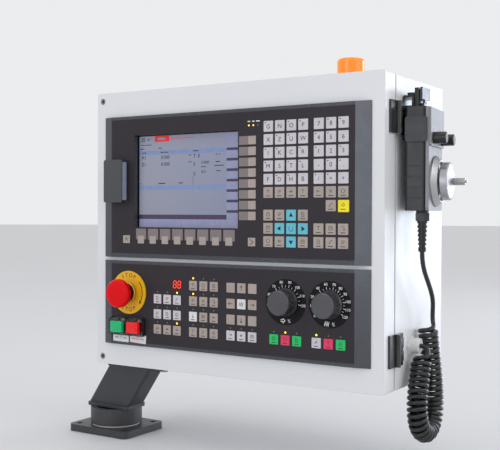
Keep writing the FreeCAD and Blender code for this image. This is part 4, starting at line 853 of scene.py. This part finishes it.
def emergency_stop_print():
    """The word STOP twice round the yellow plate, between two bent arrows."""
    place = Vector(JOINTS["estop_twist"]["pos_m"])
    place.y = -reach("estop_plate", FRONT)
    ink = []
    for middle, way in ((0, 1), (180, -1)):
        for index, sign in enumerate("STOP"):
            degrees = middle + STOP_STEP * (index - 1.5) * way
            x, y = round_point(0, 0, STOP_OUT, degrees)
            ink.append(turned_sign(sign, x, y, STOP_SIZE, degrees - middle))
    for start in (50, 230):
        ink.append(ribbon(arc(0, 0, ARROW_OUT, start, start + ARROW_SWEEP), 1.3, PLATE_PRINT))
        tip = round_point(0, 0, ARROW_OUT, start + ARROW_TIP)
        ink.append(triangle(*tip, 2.8, start + ARROW_TIP + ARROW_LEAN, PLATE_PRINT))
    piece("estop_plate_print", seat(place, RIGHT, FRONT), ink, "print_dark", "door")


LABEL_WIDE, LABEL_TALL, LABEL_THICK = 28.8, 11.8, 0.2


def power_labels():
    """Two paper labels under the power buttons, a little askew, with the marks for on and off."""
    labels, green, red = [], [], []
    for across, turn, ink, text in ((32.6, -0.02, green, "I"), (63.6, -0.05, red, "O")):
        labels.append(plate(across, -314.6, LABEL_WIDE, LABEL_TALL, 0, LABEL_THICK, 0.8, turn))
        ink.append(lettering(text, across, -314.4, 7.4, LABEL_THICK))
        for ends in (((across - 10.6, -314.6), (across - 4.4, -314.8)),
                     ((across + 4.4, -314.9), (across + 10.6, -315.1))):
            ink.append(ribbon(ends, 1.1, LABEL_THICK))
    on_panel("power_labels", labels, "sticker")
    on_panel("power_on_sign", green, "sticker_green")
    on_panel("power_off_sign", red, "sticker_red")


# ------------------------------------------------------------------ hand pendant

WHEEL_OUT = Vector(JOINTS["handwheel_turn"]["axis"])
PENDANT_RIGHT = UP.cross(WHEEL_OUT)


SELECTORS = (("axis", "axis_select", "axis_selector", ((-56, "0"), (0, "X"), (56, "Z"))),
             ("step", "step_select", "step_selector", ((-50, "1"), (0, "10"), (50, "100"))))
WHEEL_STEPS = 100
WHEEL_HUB = 20 * MM         # the wheel's scale is on the rim, outside this radius
FULL_TICK, HALF_TICK, SHORT_TICK, WHEEL_TICK_END = 19.6, 20.6, 21.2, 22.6


def pendant_seat(joint, node, beyond=0.0):
    """A seat about a joint's line, on a pendant node's outer face beyond a distance from that line."""
    place = Vector(JOINTS[joint]["pos_m"])
    place += WHEEL_OUT * (reach(node, WHEEL_OUT, place, beyond) - place.dot(WHEEL_OUT))
    return seat(place, PENDANT_RIGHT, WHEEL_OUT)


def pendant_print():
    """Scales round the two selectors and on the handwheel, and the selectors' pointers."""
    for name, joint, body, signs in SELECTORS:
        ink = []
        for degrees, text in signs:
            ink.append(ribbon([round_point(0, 0, radius, degrees) for radius in (8.6, 10.2)], 0.5, 0))
            ink.append(lettering(text, *round_point(0, 0, 13.4, degrees), 4.0, 0))
        face, knob = pendant_seat(joint, "pendant_face"), pendant_seat(joint, name + "_knob")
        piece(name + "_scale", face, ink, "print_white", "console")
        pointer = ribbon([(0, 1.5), (0, 6.4)], 1.0, 0)
        piece(name + "_pointer", knob, [pointer], "print_white", body)
    marks = []
    for step in range(WHEEL_STEPS):
        degrees = 360 / WHEEL_STEPS * step
        start = FULL_TICK if step % 10 == 0 else HALF_TICK if step % 5 == 0 else SHORT_TICK
        ends = [round_point(0, 0, radius, degrees) for radius in (start, WHEEL_TICK_END)]
        marks.append(ribbon(ends, 0.35, 0))
        if step % 10 == 0:
            marks.append(lettering(str(step), *round_point(0, 0, 17.2, degrees), 2.6, 0))
    rim = pendant_seat("handwheel_turn", "handwheel", WHEEL_HUB)
    piece("wheel_scale", rim, marks, "print_dark", "wheel")


# ------------------------------------------------------------------ beacon

LAMP_RIBS, RIB_PITCH = 4, 2.4


def beacon_lamp():
    """The lamp inside the beacon's lens: a ribbed post with a round head."""
    low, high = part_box("beacon_lens")
    base_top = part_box("beacon_base")[1].z
    place = Vector(((low.x + high.x) / 2, (low.y + high.y) / 2, base_top))
    on = Matrix.Translation(place) @ Matrix.Scale(MM, 4)
    profile = [(9.0, 0.0), (9.0, 2.0), (6.5, 3.0)]
    for rib in range(LAMP_RIBS):
        profile += [(radius, level + RIB_PITCH * rib)
                    for radius, level in ((7.6, 4.0), (7.6, 5.2), (6.4, 5.8))]
    profile += [(8.2, 14.4), (8.2, 18.0), (6.8, 20.4), (3.6, 21.8), (0.8, 22.2)]
    rings = [lifted(circle(radius, 40), 0, 0, level) for radius, level in profile]
    lamp = stacked(rings)
    piece("beacon_lamp", on, [lamp], "gland_white", "console", smooth=True)


# ------------------------------------------------------------------ cord

# Control points of the cord's run down from the pendant, of its coil's middle line, and of its
# short run into the cabinet; part.py's solids follow the same points.
LEAD = ((0.4737, 0.0258, 0.2770), (0.4737, 0.0258, 0.2670), (0.4742, 0.0320, 0.2520),
        (0.4746, 0.0440, 0.2380), (0.4744, 0.0570, 0.2230), (0.4728, 0.0675, 0.2090),
        (0.4698, 0.0730, 0.1945), (0.4670, 0.0744, 0.1797))
COIL = ((0.4666, 0.0642, 0.1790), (0.4684, 0.0668, 0.1480), (0.4704, 0.0694, 0.1220),
        (0.4720, 0.0710, 0.0980), (0.4730, 0.0700, 0.0740), (0.4735, 0.0600, 0.0540),
        (0.4735, 0.0410, 0.0460), (0.4730, 0.0220, 0.0560), (0.4725, 0.0140, 0.0760),
        (0.4715, 0.0180, 0.0990), (0.4705, 0.0280, 0.1210), (0.4700, 0.0360, 0.1430))
TAIL = ((0.4805, 0.0390, 0.1424), (0.4800, 0.0400, 0.1520), (0.4740, 0.0400, 0.1570),
        (0.4660, 0.0400, 0.1570))
CORD_WIDE = 0.006
COIL_RADIUS = 0.0105
COIL_PITCH = 0.0070
POINTS_A_TURN = 16
ROUTE_STEPS = 40            # how finely a route is read between its control points
# How far apart the eased points lie, how far from a join the easing reaches, and how often it runs.
EASED_STEP, EASED_REACH, EASED_ROUNDS = 0.003, 0.040, 24
FIXED_TAIL = 0.010          # the length at the cabinet that keeps its shape


def nurbs(name, points):
    """A smooth open curve with these control points."""
    curve = bpy.data.curves.new(name, "CURVE")
    curve.dimensions = "3D"
    spline = curve.splines.new("NURBS")
    spline.points.add(len(points) - 1)
    for knot, point in zip(spline.points, points):
        knot.co = (*point, 1.0)
    spline.order_u = 3
    spline.use_endpoint_u = True
    return curve


def along(route):
    """Points read from the smooth curve of a route, and how far along it each is."""
    curve = nurbs("route", route)
    curve.resolution_u = ROUTE_STEPS
    holder = bpy.data.objects.new("route", curve)
    mesh = bpy.data.meshes.new_from_object(holder)
    line = np.array([vertex.co for vertex in mesh.vertices])
    bpy.data.objects.remove(holder)
    bpy.data.curves.remove(curve)
    bpy.data.meshes.remove(mesh)
    run = np.concatenate([[0.0], np.cumsum(np.linalg.norm(np.diff(line, axis=0), axis=1))])
    return line, run


def helix(route, first, last):
    """Control points of the coil, round a route, from beside one point to beside another."""
    line, run = along(route)
    ways = np.gradient(line, axis=0)
    ways /= np.linalg.norm(ways, axis=1)[:, None]
    side = np.array(first) - line[0]
    sides = []
    for way in ways:
        side = side - way * side.dot(way)
        side = side / np.linalg.norm(side)
        sides.append(side)
    sides = np.array(sides)
    ups = np.cross(ways, sides)
    end = np.array(last) - line[-1]
    turn_on = math.atan2(end.dot(ups[-1]), end.dot(sides[-1]))
    angle = math.tau * round(run[-1] / COIL_PITCH) + turn_on
    count = round(angle / math.tau * POINTS_A_TURN)
    points = []
    for step in range(1, count):
        here = run[-1] * step / count
        centre, side, up = (np.array([np.interp(here, run, source[:, axis]) for axis in range(3)])
                            for source in (line, sides, ups))
        turned = angle * step / count
        points.append(tuple(centre + COIL_RADIUS * (side * math.cos(turned) + up * math.sin(turned))))
    return points


def eased(points):
    """The route's points spaced evenly, with its bends into and out of the coil rounded off."""
    line, run = along(points)
    count = round(run[-1] / EASED_STEP)
    place = run[-1] * np.arange(count + 1) / count
    even = np.stack([np.interp(place, run, line[:, axis]) for axis in range(3)], axis=1)
    lead_end = along(LEAD)[1][-1]
    tail_start = run[-1] - along(TAIL)[1][-1]
    apart = np.minimum(abs(place - lead_end), abs(place - tail_start))
    share = np.clip((EASED_REACH - apart) / (EASED_REACH / 2), 0.0, 1.0) * (run[-1] - place > FIXED_TAIL)
    for _ in range(EASED_ROUNDS):
        pull = (even[:-2] + even[2:]) / 4 - even[1:-1] / 2
        even[1:-1] += share[1:-1, None] * pull
    return [tuple(point) for point in even]


def pendant_cord():
    """One cord from the pendant to the cabinet: straight, coiled round its loop, then straight."""
    curve = nurbs("pendant_cord", eased(list(LEAD) + helix(COIL, LEAD[-1], TAIL[0]) + list(TAIL)))
    curve.bevel_depth = CORD_WIDE / 2
    curve.bevel_resolution = 3
    curve.resolution_u = 2
    curve.materials.append(MATERIALS["cord_sheath"])
    made = bpy.data.objects.new("pendant_cord", curve)
    bpy.context.scene.collection.objects.link(made)
    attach(made, "console")
    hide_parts("cord_lead", "cord_coil", "cord_tail")


# ------------------------------------------------------------------ camera, light and floor

CAMERA_AT = (0.9015, -1.0539, 0.3237)
CAMERA_YAW, CAMERA_PITCH, CAMERA_ROLL = 32.27, -0.71, 0.18
CAMERA_LENS = 65.96
FLOOR_RADIUS, FLOOR_DROP = 25.0, 0.0005


def camera():
    """The photograph's viewing angle."""
    data = bpy.data.cameras.new("camera")
    data.lens = CAMERA_LENS
    data.sensor_width = 36.0
    made = bpy.data.objects.new("camera", data)
    bpy.context.scene.collection.objects.link(made)
    turned = (Matrix.Rotation(math.radians(CAMERA_YAW), 4, "Z")
              @ Matrix.Rotation(math.radians(90 + CAMERA_PITCH), 4, "X")
              @ Matrix.Rotation(math.radians(CAMERA_ROLL), 4, "Z"))
    made.matrix_world = Matrix.Translation(Vector(CAMERA_AT)) @ turned
    bpy.context.scene.camera = made


def softbox(name, place, target, size, power, colour=(1.0, 1.0, 1.0)):
    """A large soft light that looks at a point."""
    data = bpy.data.lights.new(name, "AREA")
    data.shape = "SQUARE"
    data.size = size
    data.energy = power
    data.color = colour
    made = bpy.data.objects.new(name, data)
    bpy.context.scene.collection.objects.link(made)
    made.location = place
    made.rotation_euler = (Vector(place) - Vector(target)).to_track_quat("Z", "Y").to_euler()


def studio():
    """Soft lights all round, cooler in front and behind, and a plain pale floor."""
    middle = (0.23, 0.05, 0.3)
    softbox("right_light", (2.8, -0.1, 1.6), middle, 2.0, 13.0)
    softbox("front_light", (-0.1, -2.8, 0.6), middle, 1.2, 9.0, (0.80, 0.88, 1.0))
    softbox("back_light", (1.7, 2.5, 0.5), middle, 1.2, 30.0, (0.76, 0.85, 1.0))
    softbox("top_light", (0.0, -0.4, 2.6), middle, 2.0, 8.0)
    world = bpy.data.worlds.new("studio")
    bpy.context.scene.world = world
    world.use_nodes = True
    sky = world.node_tree.nodes["Background"]
    sky.inputs["Color"].default_value = (0.95, 0.96, 0.97, 1.0)
    sky.inputs["Strength"].default_value = 0.88
    bpy.context.scene.view_settings.view_transform = "Standard"
    paint = Finish("floor_paint", srgb(214, 214, 216), 0.6).clouds(1.5, 0.015).relief(40.0, 0.1, 0.2)
    mesh = bpy.data.meshes.new("floor")
    ring = circle(FLOOR_RADIUS, 96)
    mesh.from_pydata([(x, y, -FLOOR_DROP) for x, y in ring], [], [tuple(range(len(ring)))])
    mesh.materials.append(paint.done(3.0))
    floor = bpy.data.objects.new("floor", mesh)
    bpy.context.scene.collection.objects.link(floor)


# ------------------------------------------------------------------ the scene

camera()
studio()
dress_cad()
pendant_cord()
display_keys()
softkeys()
screen()
control_keys()
digit_segments()
flap_trim()
dials()
emergency_stop_print()
power_labels()
pendant_print()
beacon_lamp()
